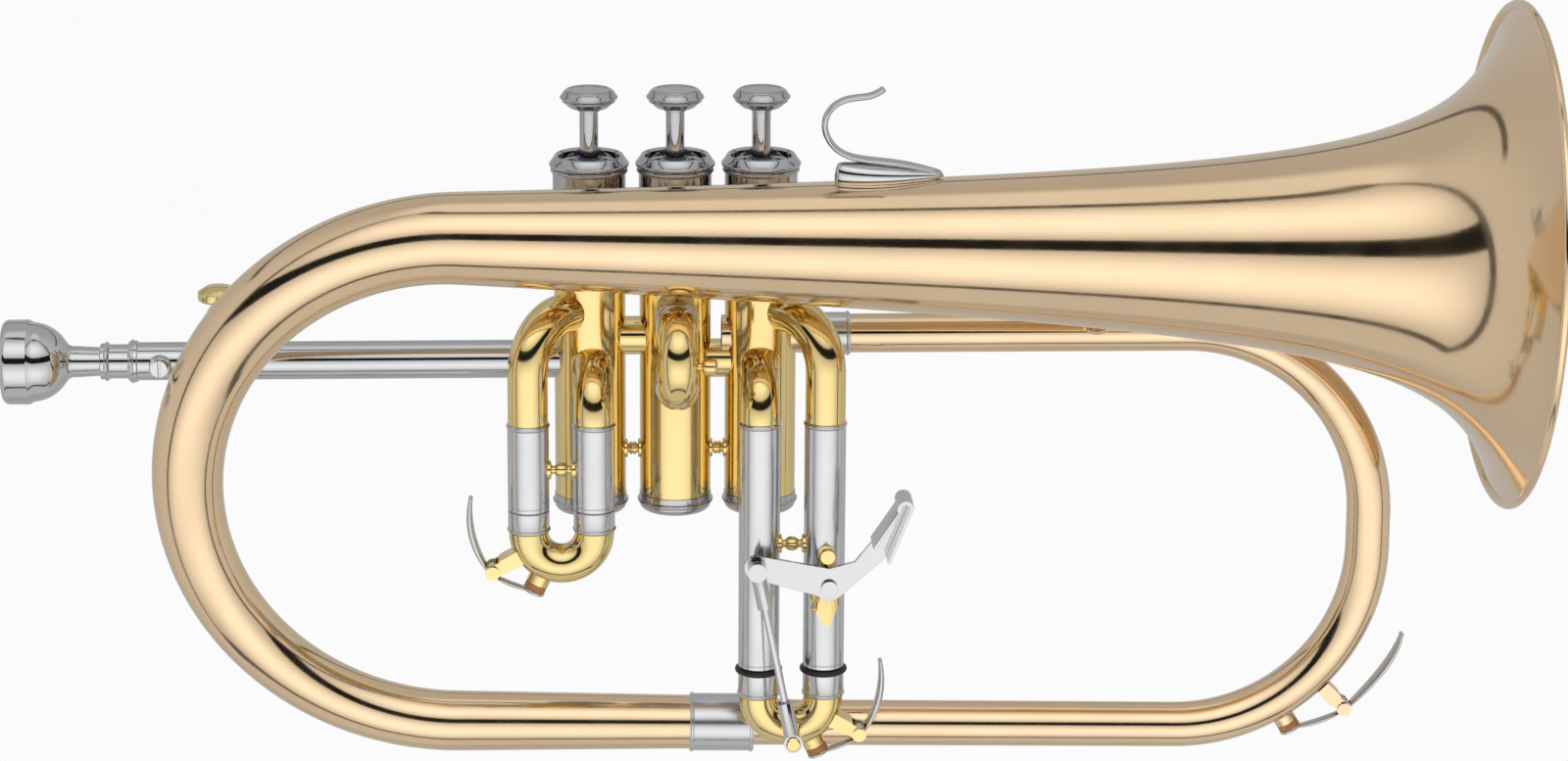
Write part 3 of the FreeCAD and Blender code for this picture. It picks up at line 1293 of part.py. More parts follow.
def bell_core(name):
    """Solid bell, for seating what stands on it."""
    points = []
    steps = 40
    for step in range(steps + 1):
        back = mm("bell_length") * (1 - step / steps)
        points.append(Vector(flare_radius(back), 0, -back))
    low = Vector(0, 0, points[0].z)
    high = Vector(0, 0, points[-1].z)
    wire = Part.makePolygon([low] + points + [high, low])
    core = Part.Face(wire).revolve(Vector(0, 0, 0), Z_AXIS, 360)
    return made(name, core, placed(MOUTH, Vector(0, 1, 0), BELL_AXIS))


def finger_hook():
    base = TAIL + BELL_AXIS * 125
    back = (MOUTH - base).Length
    crown = base + Vector(0, 0, flare_radius(back))
    wire = mm("hook_wire")
    radius = mm("hook_radius")
    centre = crown + Vector(-9.6, 0, 14.6)
    start = centre + Vector(radius * math.cos(math.radians(-125)), 0, radius * math.sin(math.radians(-125)))
    west = centre + Vector(-radius, 0, 0)
    finish = centre + Vector(radius * math.cos(math.radians(62)), 0, radius * math.sin(math.radians(62)))
    tip = finish + Vector(5.6, 0, 3.0)
    curl = Part.Arc(start, west, finish).toShape()
    flick = Part.Arc(finish, finish + Vector(3.0, 0, 0.4), tip).toShape()
    root = crown + Vector(4.0, 0, -0.2)
    toe = Part.Arc(root, crown + Vector(-9.0, 0, 3.0), start).toShape()
    pieces = []
    for edge in (toe, curl, flick):
        begin = edge.valueAt(edge.FirstParameter)
        heading = edge.tangentAt(edge.FirstParameter)
        ring_edge = Part.makeCircle(wire, begin, heading)
        tube = Part.Wire(edge).makePipeShell([Part.Wire(ring_edge)], True, True)
        pieces.append(tube)
    pieces.append(Part.makeSphere(wire + 0.02, start))
    pieces.append(Part.makeSphere(wire + 0.02, finish))
    pieces.append(Part.makeSphere(wire + 0.7, tip))
    leaf_outline = [Vector(-14, -1.2, 0), Vector(-6, -4.4, 0), Vector(3, -5.2, 0), Vector(13, -3.0, 0),
                    Vector(18, 0, 0), Vector(13, 3.0, 0), Vector(3, 5.2, 0), Vector(-6, 4.4, 0),
                    Vector(-14, 1.2, 0)]
    outline = Part.BSplineCurve()
    outline.interpolate(leaf_outline, PeriodicFlag=True)
    leaf = Part.Face(Part.Wire(outline.toShape())).extrude(Vector(0, 0, 8))
    leaf.Placement = placed(crown + Vector(0, 0, -4), BELL_AXIS, BELL_AXIS.cross(-Y_AXIS))
    skin_radius = flare_radius(back)
    skin = Part.makeCone(skin_radius + 0.6, skin_radius + 1.6, 40, base - BELL_AXIS * 20, BELL_AXIS)
    ridge = Part.makeCone(2.6, 0.7, 17, crown + Vector(0, 0, 0.6), BELL_AXIS)
    body = pieces[0].multiFuse(pieces[1:] + [leaf.common(skin), ridge])
    keep("finger_hook", cut("finger_hook", made("finger_hook_blank", body), bell_core("hook_seat")))


def lyre():
    station = -size("lyre_x")
    start = 1.0
    barrel = cylinder("lyre_barrel", size("lyre_radius"), size("lyre_length"),
                      placed(at(station, start, size("lyre_height")), X_AXIS, Y_AXIS))
    foot = cylinder("lyre_foot", 3.2, size("lyre_height"), Placement(at(station, 3.4, 0), Rotation()))
    bore = cylinder("lyre_bore_cut", size("lyre_bore"), size("lyre_length") + 1,
                    placed(at(station, start + 1.5, size("lyre_height")), X_AXIS, Y_AXIS))
    screw_y = start + size("lyre_length") / 2
    tapped = cylinder("lyre_tapped", 1.5, 10, Placement(at(station, screw_y, size("lyre_height")), Rotation()))
    pipe = cylinder("lyre_pipe", size("mouthpipe_radius"), 30, along_x(at(station - 15, 0, 0)))
    keep("lyre_socket", cut("lyre_socket", fused("lyre_blank", barrel, foot), bore, tapped, pipe))
    low = size("lyre_bore") + 0.2
    head = size("lyre_radius") + 0.6
    wide = size("thumb_screw_radius")
    keep("lyre_screw", turned("lyre_screw", [
        (0, low), (1.45, low), (1.45, size("lyre_radius") + 0.3), (2.0, size("lyre_radius") + 0.3),
        (2.0, head + 1.0), (wide - 0.6, head + 1.6), (wide, head + 2.2), (wide, head + 4.4),
        (wide - 2.4, head + 6.0), (0, head + 6.4),
    ], Placement(at(station, screw_y, size("lyre_height")), Rotation())))


def brace(number, low, seat, seat_radius):
    """Strut from the middle of a tube to the bell, with a round foot at each end."""
    back = MOUTH.x - low.x
    high = Vector(low.x, MOUTH.y, MOUTH.z + back * math.tan(TILT))
    span = (high - low).normalize()
    reach = (high - low).Length - flare_radius(back)
    rod = Part.makeCylinder(mm("brace_radius"), reach + 2, low, span)
    foot = Part.makeCylinder(mm("brace_foot_radius"), 1.6, low + span * (seat_radius - 0.4), span)
    pad = Part.makeCylinder(mm("brace_pad_radius"), 2.2, low + span * (reach - 1.4), span)
    blank = made(f"brace_{number}_blank", rod.multiFuse([foot, pad]))
    return cut(f"brace_{number}", blank, seat, bell_core(f"brace_{number}_bell"))


def braces():
    """Struts that hold the bell to the exit tube and to the first valve."""
    radius = size("branch_top_radius") + 0.05
    station = size("brace_station")
    exit_seat = cylinder("brace_exit_seat", radius, 40,
                         along_x(at(station - 20, 0, size("exit_height"))))
    casing_x = CASING_STATIONS[1].number
    level = MOUTH.z + (MOUTH.x - casing_x) * math.tan(TILT)
    keep("bell_braces", grouped("bell_braces", [
        brace(1, at(station, 0, size("exit_height")), exit_seat, radius.number),
        brace(2, at(casing_x, 0, level), casing_block("brace_casing_seat", 1), mm("casing_radius")),
    ]))


# ---------------------------------------------------------------- build, check and write

valve_block()
upright_slides()
second_slide()
mouthpipe()
mouthpiece()
bell_flare()
branch_centre = main_tubing()
trigger()
link_rod()
KEY_PIVOTS = water_keys(branch_centre)
finger_hook()
lyre()
braces()
doc.recompute()

for thing in doc.Objects:
    if "Invalid" in thing.State or "Error" in thing.State:
        raise RuntimeError(f"{thing.Name} failed: {thing.State}")
os.makedirs("parts", exist_ok=True)
for name, thing in NODES.items():
    shape = thing.Shape
    if shape.isNull() or not shape.isValid() or not shape.Solids:
        raise RuntimeError(f"{name} has no sound solid")
    shape.exportStep(os.path.join("parts", f"{name}.step"))
    print(f"{name}: {len(shape.Solids)} solid(s), {shape.Volume:.0f} mm3")
for word, pivot in KEY_PIVOTS.items():
    print(f"{word} pivot at {pivot.x:.3f} {pivot.y:.3f} {pivot.z:.3f}")
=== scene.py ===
import json
import math

import bmesh
import bpy
from bpy.props import FloatProperty, FloatVectorProperty, IntProperty, PointerProperty
from bpy.types import Operator, Panel, PropertyGroup
from mathutils import Matrix, Vector


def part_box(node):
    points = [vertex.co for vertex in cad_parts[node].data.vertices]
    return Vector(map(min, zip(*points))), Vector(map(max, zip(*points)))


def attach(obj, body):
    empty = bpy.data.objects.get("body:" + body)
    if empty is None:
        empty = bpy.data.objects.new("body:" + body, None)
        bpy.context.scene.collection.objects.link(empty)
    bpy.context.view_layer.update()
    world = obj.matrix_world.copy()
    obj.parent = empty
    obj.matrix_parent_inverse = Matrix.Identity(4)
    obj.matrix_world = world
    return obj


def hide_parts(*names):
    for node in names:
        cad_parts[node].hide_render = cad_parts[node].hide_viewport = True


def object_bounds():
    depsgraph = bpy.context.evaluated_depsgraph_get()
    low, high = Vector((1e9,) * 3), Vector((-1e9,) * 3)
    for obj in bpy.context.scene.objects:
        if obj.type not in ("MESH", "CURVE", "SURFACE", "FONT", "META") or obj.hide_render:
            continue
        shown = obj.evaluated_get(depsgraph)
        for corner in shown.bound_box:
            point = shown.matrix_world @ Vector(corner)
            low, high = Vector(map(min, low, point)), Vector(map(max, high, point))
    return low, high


bl_info = {
    "name": "Flugelhorn",
    "version": (1, 0, 0),
    "blender": (4, 5, 0),
    "location": "View3D > Sidebar > Flugelhorn",
    "description": "Lacquered, plated and satin pieces of a flugelhorn around its fixed frame",
    "category": "Add Mesh",
}

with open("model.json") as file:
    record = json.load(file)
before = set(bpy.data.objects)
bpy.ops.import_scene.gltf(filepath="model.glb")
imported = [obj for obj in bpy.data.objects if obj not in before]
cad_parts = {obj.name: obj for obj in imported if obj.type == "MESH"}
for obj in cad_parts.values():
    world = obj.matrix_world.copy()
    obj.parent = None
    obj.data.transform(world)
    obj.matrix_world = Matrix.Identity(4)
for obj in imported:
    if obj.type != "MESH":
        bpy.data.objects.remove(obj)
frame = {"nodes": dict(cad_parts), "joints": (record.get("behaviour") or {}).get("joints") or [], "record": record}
LOADED_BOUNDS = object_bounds()

MM = 0.001
X_AXIS = Vector((1, 0, 0))
Y_AXIS = Vector((0, 1, 0))
Z_AXIS = Vector((0, 0, 1))
VALVES = (1, 2, 3)
FINE_EDGE = 0.05 * MM
BAND_EDGE = 0.06 * MM


# ---------------------------------------------------------------- sizes and colours

def length(name, description, millimetres):
    return FloatProperty(name=name, description=description, default=millimetres * MM,
                         unit="LENGTH", precision=5)


def tone(name, description, colour):
    return FloatVectorProperty(name=name, description=description, default=colour, size=3,
                               subtype="COLOR", min=0, max=1)


def share(name, description, value):
    return FloatProperty(name=name, description=description, default=value, min=0, max=1,
                         subtype="FACTOR")


def reading(name, description, value):
    return FloatProperty(name=name, description=description, default=value)


def swing(name, description, degrees):
    return FloatProperty(name=name, description=description, default=math.radians(degrees),
                         unit="ROTATION", subtype="ANGLE")


class HornFinishes(PropertyGroup):
    """Colours of the finishes, and how much each one blurs what it mirrors."""
    rose_brass: tone("Rose brass", "Lacquered bell and main tubing", (0.88, 0.66, 0.42))
    yellow_brass: tone("Yellow brass", "Lacquered valve group and slide bows", (0.88, 0.68, 0.30))
    nickel_silver: tone("Nickel silver", "Sleeves, inner legs and ferrules", (0.66, 0.66, 0.67))
    silver_plate: tone("Silver plate", "Mouthpipe, mouthpiece and levers", (0.62, 0.62, 0.63))
    nickel_plate: tone("Nickel plate", "Valve caps and finger buttons", (0.52, 0.52, 0.54))
    spring_steel: tone("Spring steel", "Valve springs and trigger spring", (0.50, 0.36, 0.20))
    cork: tone("Cork", "Water key corks", (0.50, 0.22, 0.07))
    rubber: tone("Rubber", "O-rings of the third slide", (0.012, 0.012, 0.013))
    felt: tone("Felt", "Washers under the finger buttons", (0.32, 0.32, 0.33))
    lacquer_blur: share("Lacquer blur", "Roughness of the lacquered brass", 0.10)
    satin_blur: share("Satin blur", "Roughness of the nickel silver", 0.20)
    plate_blur: share("Plating blur", "Roughness of the plated pieces", 0.07)
    spring_blur: share("Spring blur", "Roughness of the springs", 0.22)


class BellSizes(PropertyGroup):
    """The bell, its rim and the two bends of the main tube."""
    mouth: FloatVectorProperty(name="Mouth", description="Centre of the bell's mouth", size=3,
                               default=(0.2485, -0.0303, 0.0387), subtype="TRANSLATION", precision=5)
    tilt: swing("Tilt", "Slope of the bell's axis", 1.25)
    bell_length: length("Length", "Straight bell from tail to rim", 312.9)
    rim_radius: length("Rim radius", "Flare at the rim", 74.7)
    tail_radius: length("Tail radius", "Bell where the large bow starts", 13.75)
    reach: length("Flare reach", "How far back the flare curls", 14.0)
    power: FloatProperty(name="Flare power", description="Sharpness of the flare", default=0.75)
    slope: FloatProperty(name="Cone slope", description="Taper of the straight part", default=0.0268)
    wall: length("Wall", "Sheet thickness", 0.6)
    rim_bead: length("Rim bead", "Section of the rolled rim", 1.4)
    bow_drop: length("Bow drop", "Height of the large bow", 160.6)
    bow_depth: length("Bow depth", "How much nearer the valves its lower leg lies", 25.3)
    bow_side: length("Bow side", "Tube radius at the bow's side", 10.65)
    bow_foot: length("Bow foot", "Tube radius at the bow's foot", 9.3)
    bow_end: length("Bow end", "Large tube in the ferrule", 8.2)
    ferrule_radius: length("Ferrule radius", "Ferrule of the bottom tube", 8.9)
    small_end: length("Small end", "Small tube in the ferrule", 7.1)
    branch_foot: length("Branch foot", "Start of the right-hand bow", 6.95)
    branch_side: length("Branch side", "Right-hand bow at its side", 6.75)
    branch_top: length("Branch top", "End of the right-hand bow", 6.1)
    branch_exit: length("Branch exit", "Tube at the third valve", 5.9)
    branch_turn: length("Branch turn", "Where the right-hand bow starts to turn", 156.6)
    branch_bend: length("Branch bend", "Radius of its quarter turns", 58.0)
    branch_run: length("Branch run", "Straight between them", 10.3)
    exit_height: length("Exit height", "Height of the exit tube", 7.45)


class ValveSizes(PropertyGroup):
    """Casings, caps and finger buttons."""
    casing_radius: length("Casing radius", "Outside of a valve casing", 10.8)
    casing_bore: length("Casing bore", "Bore of a valve casing", 9.0)
    neck_radius: length("Neck radius", "Threaded neck of a casing", 9.9)
    shoulder: length("Shoulder", "Where the top cap closes on the casing", 50.0)
    cap_recess: length("Cap recess", "Recess in a top cap", 9.2)
    cap_lip: length("Cap lip", "Widest part of a top cap", 12.05)
    ridge_depth: length("Ridge depth", "Height of the knurl's ridges", 0.16)
    ridges: IntProperty(name="Ridges", description="Ridges of the knurl on a cap", default=96, min=24)


class SlideSizes(PropertyGroup):
    """Knuckles, sleeves, inner legs and bows."""
    plane: length("Slide plane", "Distance of the slide legs in front of the valves", 21.0)
    gap: length("Slide gap", "Distance from leg to leg", 19.8)
    offset: length("Offset", "Inner legs stand this much nearer the middle valve", 0.9)
    sleeve: length("Sleeve radius", "Outside of a slide sleeve", 6.25)
    inner: length("Inner leg radius", "Outside of an inner leg", 5.55)
    knuckle: length("Knuckle radius", "Outside of the valve knuckles", 6.05)
    bow: length("Bow radius", "Outside of the slide bows", 6.0)
    wall: length("Wall", "Wall of the tubes", 0.6)
    lower_port: length("Lower port", "Height of the lower ports", 0.5)
    upper_port: length("Upper port", "Height of the upper ports", 16.5)
    upper_bend: length("Upper bend", "Bend radius of the upper knuckles", 15.5)
    first_stay: length("First stay", "First slide's stay, below the mouthpipe", 29.0)
    third_stay: length("Third stay", "Third slide's stay, below the mouthpipe", 53.0)
    second_gap: length("Second slide gap", "Distance between the second slide's legs", 19.4)
    second_port: length("Second slide port", "Upper port of the second slide", 17.6)


class KeySizes(PropertyGroup):
    """Levers of the water keys."""
    key_width: length("Key width", "Width of a lever's finger piece", 5.0)
    crescent_thickness: length("Crescent", "Thickness of the finger piece in its middle", 2.3)
    arm_width: length("Arm width", "Width of the arm to the cork", 3.8)
    arm_thickness: length("Arm thickness", "Thickness of that arm", 1.5)


class StageSizes(PropertyGroup):
    """Floor, light and camera."""
    floor_drop: length("Floor drop", "Floor below the lowest point of the horn", 120.0)
    floor_size: length("Floor size", "Width of the floor", 12000.0)
    floor_glow: reading("Floor glow", "Brightness of the floor", 0.97)
    azimuth: swing("Azimuth", "Camera turned about the upright", 2.9)
    elevation: swing("Elevation", "Camera above the level", 16.0)
    roll: swing("Roll", "Camera turned about its own axis", 0.4)
    distance: length("Distance", "Camera to its target", 1315.8)
    target: FloatVectorProperty(name="Target", description="Point the camera looks at", size=3,
                                default=(0.0317, -0.0303, 0.0012), subtype="TRANSLATION", precision=5)
    lens: FloatProperty(name="Lens", description="Focal length in millimetres", default=101.25)
    panel_half_width: reading("Panel half width", "Half width of the light panels, in radians", 1.15)
    border: reading("Border", "Dark border round the panels, in radians", 0.09)
    foot_low: reading("Low edge", "Lower edge of the lower panel, in radians", -0.95)
    gap_low: reading("Gap low", "Lower edge of the gap between the panels, in radians", 0.17)
    gap_high: reading("Gap high", "Upper edge of that gap, in radians", 0.44)
    head_high: reading("High edge", "Upper edge of the upper panel, in radians", 1.32)
    panel_edge: reading("Panel edge", "Light at a panel's edge", 0.62)
    panel_peak: reading("Panel peak", "Light in a panel's middle", 1.32)
    room_level: reading("Room", "Light of the room at the sides", 0.66)
    back_level: reading("Back", "Light of the room behind", 0.52)
    top_level: reading("Top", "Light overhead", 0.85)
    border_level: reading("Border light", "Light of the dark border", 0.10)
    gap_level: reading("Gap light", "Light of the gap", 0.012)


# ---------------------------------------------------------------- finishes

def feed(tree, made, inputs):
    """Set each input to its value, or link it to the socket given for it."""
    for key, value in inputs.items():
        if isinstance(value, bpy.types.NodeSocket):
            tree.links.new(value, made.inputs[key])
        else:
            made.inputs[key].default_value = value


def node(tree, kind, inputs=None, **settings):
    """A shader node; inputs holds socket values or sockets to link."""
    made = tree.nodes.new(kind)
    for key, value in settings.items():
        setattr(made, key, value)
    feed(tree, made, inputs or {})
    return made


def bumps(tree, height, strength, depth):
    """Normal of a bump depth millimetres high."""
    inputs = {"Height": height, "Strength": strength, "Distance": depth * MM}
    return node(tree, "ShaderNodeBump", inputs).outputs["Normal"]


def blended(tree, amount, first, second):
    """Colour that runs from first to second as amount goes from 0 to 1."""
    inputs = {0: amount, 6: (*first, 1), 7: (*second, 1)}
    return node(tree, "ShaderNodeMix", inputs, data_type="RGBA").outputs[2]


def new_surface(name):
    material = bpy.data.materials.new(name)
    material.use_nodes = True
    tree = material.node_tree
    shader = tree.nodes["Principled BSDF"]
    place = node(tree, "ShaderNodeTexCoord").outputs["Object"]
    return material, tree, shader, place


def spread(tree, value, low, high, start=0.3, end=0.7):
    """Noise value stretched from start..end to low..high."""
    inputs = {"Value": value, "From Min": start, "From Max": end, "To Min": low, "To Max": high}
    return node(tree, "ShaderNodeMapRange", inputs).outputs["Result"]


def stained(tree, place, colour, shade, scale):
    """Colour that drifts towards a darker shade in broad clouds."""
    cloud = node(tree, "ShaderNodeTexNoise", {"Vector": place, "Scale": scale, "Detail": 4.0})
    amount = spread(tree, cloud.outputs["Fac"], 0.0, 1.0)
    return blended(tree, amount, colour, [channel * shade for channel in colour])


def metal(name, colour, blur, shade=0.93, coat=0.0, grain=(1, 1, 1), grain_scale=700.0,
          grain_depth=0.006):
    """Polished, lacquered or satin metal with faint stains and a fine polishing grain."""
    material, tree, shader, place = new_surface(name)
    smear = node(tree, "ShaderNodeTexNoise", {"Vector": place, "Scale": 90.0, "Detail": 5.0})
    stretched = node(tree, "ShaderNodeMapping", {"Vector": place, "Scale": grain})
    scratch = node(tree, "ShaderNodeTexNoise", {"Vector": stretched.outputs["Vector"],
                                                "Scale": grain_scale, "Detail": 2.0})
    feed(tree, shader, {
        "Base Color": stained(tree, place, colour, shade, 26.0),
        "Metallic": 1.0,
        "Roughness": spread(tree, smear.outputs["Fac"], blur * 0.8, blur * 1.3),
        "Normal": bumps(tree, scratch.outputs["Fac"], 1.0, grain_depth),
        "Coat Weight": coat,
        "Coat Roughness": 0.03,
    })
    return material


def rose_brass(colours):
    return metal("rose_brass_lacquer", colours.rose_brass, colours.lacquer_blur, coat=0.35)


def yellow_brass(colours):
    return metal("yellow_brass_lacquer", colours.yellow_brass, colours.lacquer_blur, 0.9, coat=0.35)


def nickel_silver(colours):
    return metal("satin_nickel_silver", colours.nickel_silver, colours.satin_blur, 0.95,
                 grain=(1, 1, 0.03), grain_scale=2200.0, grain_depth=0.004)


def silver_plate(colours):
    return metal("bright_silver_plate", colours.silver_plate, colours.plate_blur, 0.96)


def nickel_plate(colours):
    return metal("bright_nickel_plate", colours.nickel_plate, colours.plate_blur, 0.9)


def spring_wire(colours):
    return metal("spring_wire", colours.spring_steel, colours.spring_blur, 0.8)


def cork(colours):
    """Pale orange cork with dark lenticels."""
    material, tree, shader, place = new_surface("cork")
    cells = node(tree, "ShaderNodeTexVoronoi", {"Vector": place, "Scale": 1500.0})
    specks = spread(tree, cells.outputs["Distance"], 0.0, 1.0, 0.1, 0.5)
    dark = [channel * 0.35 for channel in colours.cork]
    feed(tree, shader, {"Base Color": blended(tree, specks, dark, colours.cork), "Roughness": 0.75,
                        "Normal": bumps(tree, cells.outputs["Distance"], 0.6, 0.08)})
    return material


def rubber(colours):
    material, tree, shader, place = new_surface("black_rubber")
    dust = node(tree, "ShaderNodeTexNoise", {"Vector": place, "Scale": 1200.0, "Detail": 4.0})
    feed(tree, shader, {"Base Color": stained(tree, place, colours.rubber, 0.6, 300.0),
                        "Roughness": spread(tree, dust.outputs["Fac"], 0.35, 0.55)})
    return material


def felt(colours):
    """Pressed grey felt with short fibres."""
    material, tree, shader, place = new_surface("grey_felt")
    fibre = node(tree, "ShaderNodeTexNoise", {"Vector": place, "Scale": 3500.0, "Detail": 6.0})
    feed(tree, shader, {"Base Color": stained(tree, place, colours.felt, 0.6, 1800.0),
                        "Roughness": 0.95, "Sheen Weight": 0.4,
                        "Normal": bumps(tree, fibre.outputs["Fac"], 0.8, 0.1)})
    return material


FINISHES = {
    "rose_brass": rose_brass,
    "yellow_brass": yellow_brass,
    "nickel_silver": nickel_silver,
    "silver_plate": silver_plate,
    "nickel_plate": nickel_plate,
    "piston_alloy": nickel_plate,
    "spring_steel": spring_wire,
    "gold_lacquer": yellow_brass,
    "cork": cork,
    "rubber": rubber,
    "felt": felt,
}
SURFACES = {}
SLOT_OF = {part["node"]: part["material_slot"] for part in frame["record"]["subparts"]}
BODY_OF = {name: body for body, names in frame["record"]["behaviour"]["bodies"].items()
           for name in names}


def surface(slot):
    """The finish of a material slot, made once."""
    maker = FINISHES[slot]
    if maker not in SURFACES:
        SURFACES[maker] = maker(bpy.context.scene.horn_finishes)
    return SURFACES[maker]


# ---------------------------------------------------------------- mesh tools

def placed(origin, axis):
    """Matrix that takes local +Z to axis, at origin."""
    turn = Vector(axis).to_track_quat("Z", "Y").to_matrix().to_4x4()
    return Matrix.Translation(Vector(origin)) @ turn


def arc(centre, radius, start, end, steps=8):
    """Points round a centre in an outline, from start to end degrees."""
    points = []
    for step in range(steps + 1):
        angle = math.radians(start + (end - start) * step / steps)
        points.append((centre[0] + radius * math.cos(angle), centre[1] + radius * math.sin(angle)))
    return points


def turned(bm, outline, place=Matrix.Identity(4), steps=64):
    """Spin a closed outline of (radius, height) points about local Z."""
    before = set(bm.verts)
    corners = [bm.verts.new((max(radius, 0.0), 0, height)) for radius, height in outline]
    edges = []
    for first, last in zip(corners, corners[1:] + corners[:1]):
        if first.co.x > 0 or last.co.x > 0:
            edges.append(bm.edges.new((first, last)))
    bmesh.ops.spin(bm, geom=corners + edges, cent=(0, 0, 0), axis=(0, 0, 1),
                   angle=2 * math.pi, steps=steps, use_merge=True)
    fresh = [vert for vert in bm.verts if vert not in before]
    bmesh.ops.remove_doubles(bm, verts=fresh, dist=1e-7)
    fresh = [vert for vert in bm.verts if vert not in before]
    faces = list({face for vert in fresh for face in vert.link_faces})
    bmesh.ops.recalc_face_normals(bm, faces=faces)
    bmesh.ops.transform(bm, matrix=place, verts=fresh, space=Matrix.Identity(4))
    return fresh


def straight(start, end, first, last, count=2):
    """Stations of a straight tube whose radius runs from first to last."""
    start, end = Vector(start), Vector(end)
    heading = (end - start).normalized()
    return [(start.lerp(end, step / (count - 1)), heading,
             first + (last - first) * step / (count - 1)) for step in range(count)]


def bend(centre, start, turn, radius, angle, tube, steps=24):
    """Stations round a bend from start towards turn; tube is a radius or a function of 0..1."""
    centre = Vector(centre)
    stations = []
    for step in range(steps + 1):
        part = step / steps
        angle_here = math.radians(angle) * part
        spot = centre + (start * math.cos(angle_here) + turn * math.sin(angle_here)) * radius
        heading = turn * math.cos(angle_here) - start * math.sin(angle_here)
        stations.append((spot, heading, tube(part) if callable(tube) else tube))
    return stations


def swept(bm, stations, wall=None, around=48, side=None):
    """Skin through the circles of the stations; wall makes it a pipe, otherwise it is solid.

    A radius may be a pair, (half width along side, half thickness), for a strap.
    """
    spots = []
    for centre, heading, radius in stations:
        if not spots or (centre - spots[-1][0]).length > 1e-6 or radius != spots[-1][2]:
            spots.append((centre, heading, radius))
    if wall:
        spots += [(centre, heading, radius - wall) for centre, heading, radius in reversed(spots)]
    side = side or spots[0][1].orthogonal()
    frames = []
    for centre, heading, radius in spots:
        wide, thin = radius if isinstance(radius, tuple) else (radius, radius)
        side = (side - heading * side.dot(heading)).normalized()
        across = heading.cross(side)
        turn = Matrix((side * wide, across * thin, heading * wide)).transposed().to_4x4()
        frames.append(Matrix.Translation(centre) @ turn)
    ring = bmesh.ops.create_circle(bm, segments=around, radius=1.0, cap_ends=False)["verts"]
    bmesh.ops.transform(bm, matrix=frames[0], verts=ring, space=Matrix.Identity(4))
    first = list({edge for vert in ring for edge in vert.link_edges})
    edges = first
    skin = list(ring)
    for before, after in zip(frames, frames[1:]):
        grown = bmesh.ops.extrude_edge_only(bm, edges=edges)["geom"]
        verts = [item for item in grown if isinstance(item, bmesh.types.BMVert)]
        members = set(verts)
        edges = [item for item in grown if isinstance(item, bmesh.types.BMEdge)
                 and item.verts[0] in members and item.verts[1] in members]
        bmesh.ops.transform(bm, matrix=after @ before.inverted(), verts=verts,
                            space=Matrix.Identity(4))
        skin += verts
    if wall:
        bmesh.ops.bridge_loops(bm, edges=first + edges)
    else:
        bmesh.ops.contextual_create(bm, geom=first)
        bmesh.ops.contextual_create(bm, geom=edges)
    faces = list({face for vert in skin for face in vert.link_faces})
    bmesh.ops.recalc_face_normals(bm, faces=faces)
    return skin


def finished(name, bm, nodes, edge=0.0, crease=35.0):
    """Turn a bmesh into a smooth piece that stands for its CAD nodes; edge rounds its corners."""
    mesh = bpy.data.meshes.new(name)
    bm.to_mesh(mesh)
    bm.free()
    mesh.shade_smooth()
    mesh.set_sharp_from_angle(angle=math.radians(crease))
    piece = bpy.data.objects.new(name, mesh)
    bpy.context.scene.collection.objects.link(piece)
    slot = SLOT_OF[nodes[0]]
    mesh.materials.append(surface(slot))
    if edge:
        rounding = piece.modifiers.new("rounded_edges", "BEVEL")
        rounding.width = edge
        rounding.segments = 2
        rounding.limit_method = "ANGLE"
        rounding.angle_limit = math.radians(crease)
        rounding.harden_normals = True
    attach(piece, BODY_OF[nodes[0]])
    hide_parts(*nodes)
    return piece


def lathed(name, outline, places, steps, nodes, edge=0.0, crease=35.0):
    """One outline turned at each of the places, as one piece."""
    bm = bmesh.new()
    for place in places:
        turned(bm, outline, place, steps)
    return finished(name, bm, nodes, edge, crease)


def polished(node_name, edge=0.12 * MM, crease=35.0):
    """Merged copy of a CAD node with softened edges."""
    bm = bmesh.new()
    bm.from_mesh(frame["nodes"][node_name].data)
    bmesh.ops.remove_doubles(bm, verts=bm.verts, dist=1e-6)
    bmesh.ops.dissolve_degenerate(bm, dist=1e-6, edges=bm.edges)
    bmesh.ops.dissolve_limit(bm, angle_limit=math.radians(0.6), verts=bm.verts, edges=bm.edges)
    return finished(f"{node_name}_finish", bm, [node_name], edge, crease)


def middle(node_name):
    low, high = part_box(node_name)
    return (low + high) / 2


# ---------------------------------------------------------------- bell and main tubing

def flare_radius(sizes, back):
    """Outer radius of the bell, back from the rim."""
    def curl(station):
        return (sizes.reach / (sizes.reach + station)) ** sizes.power

    swing_out = sizes.rim_radius - sizes.tail_radius - sizes.slope * sizes.bell_length
    fall = (1 - curl(back)) / (1 - curl(sizes.bell_length))
    return sizes.rim_radius - sizes.slope * back - swing_out * fall


def bell_axis(sizes):
    return Vector((math.cos(sizes.tilt), 0, -math.sin(sizes.tilt)))


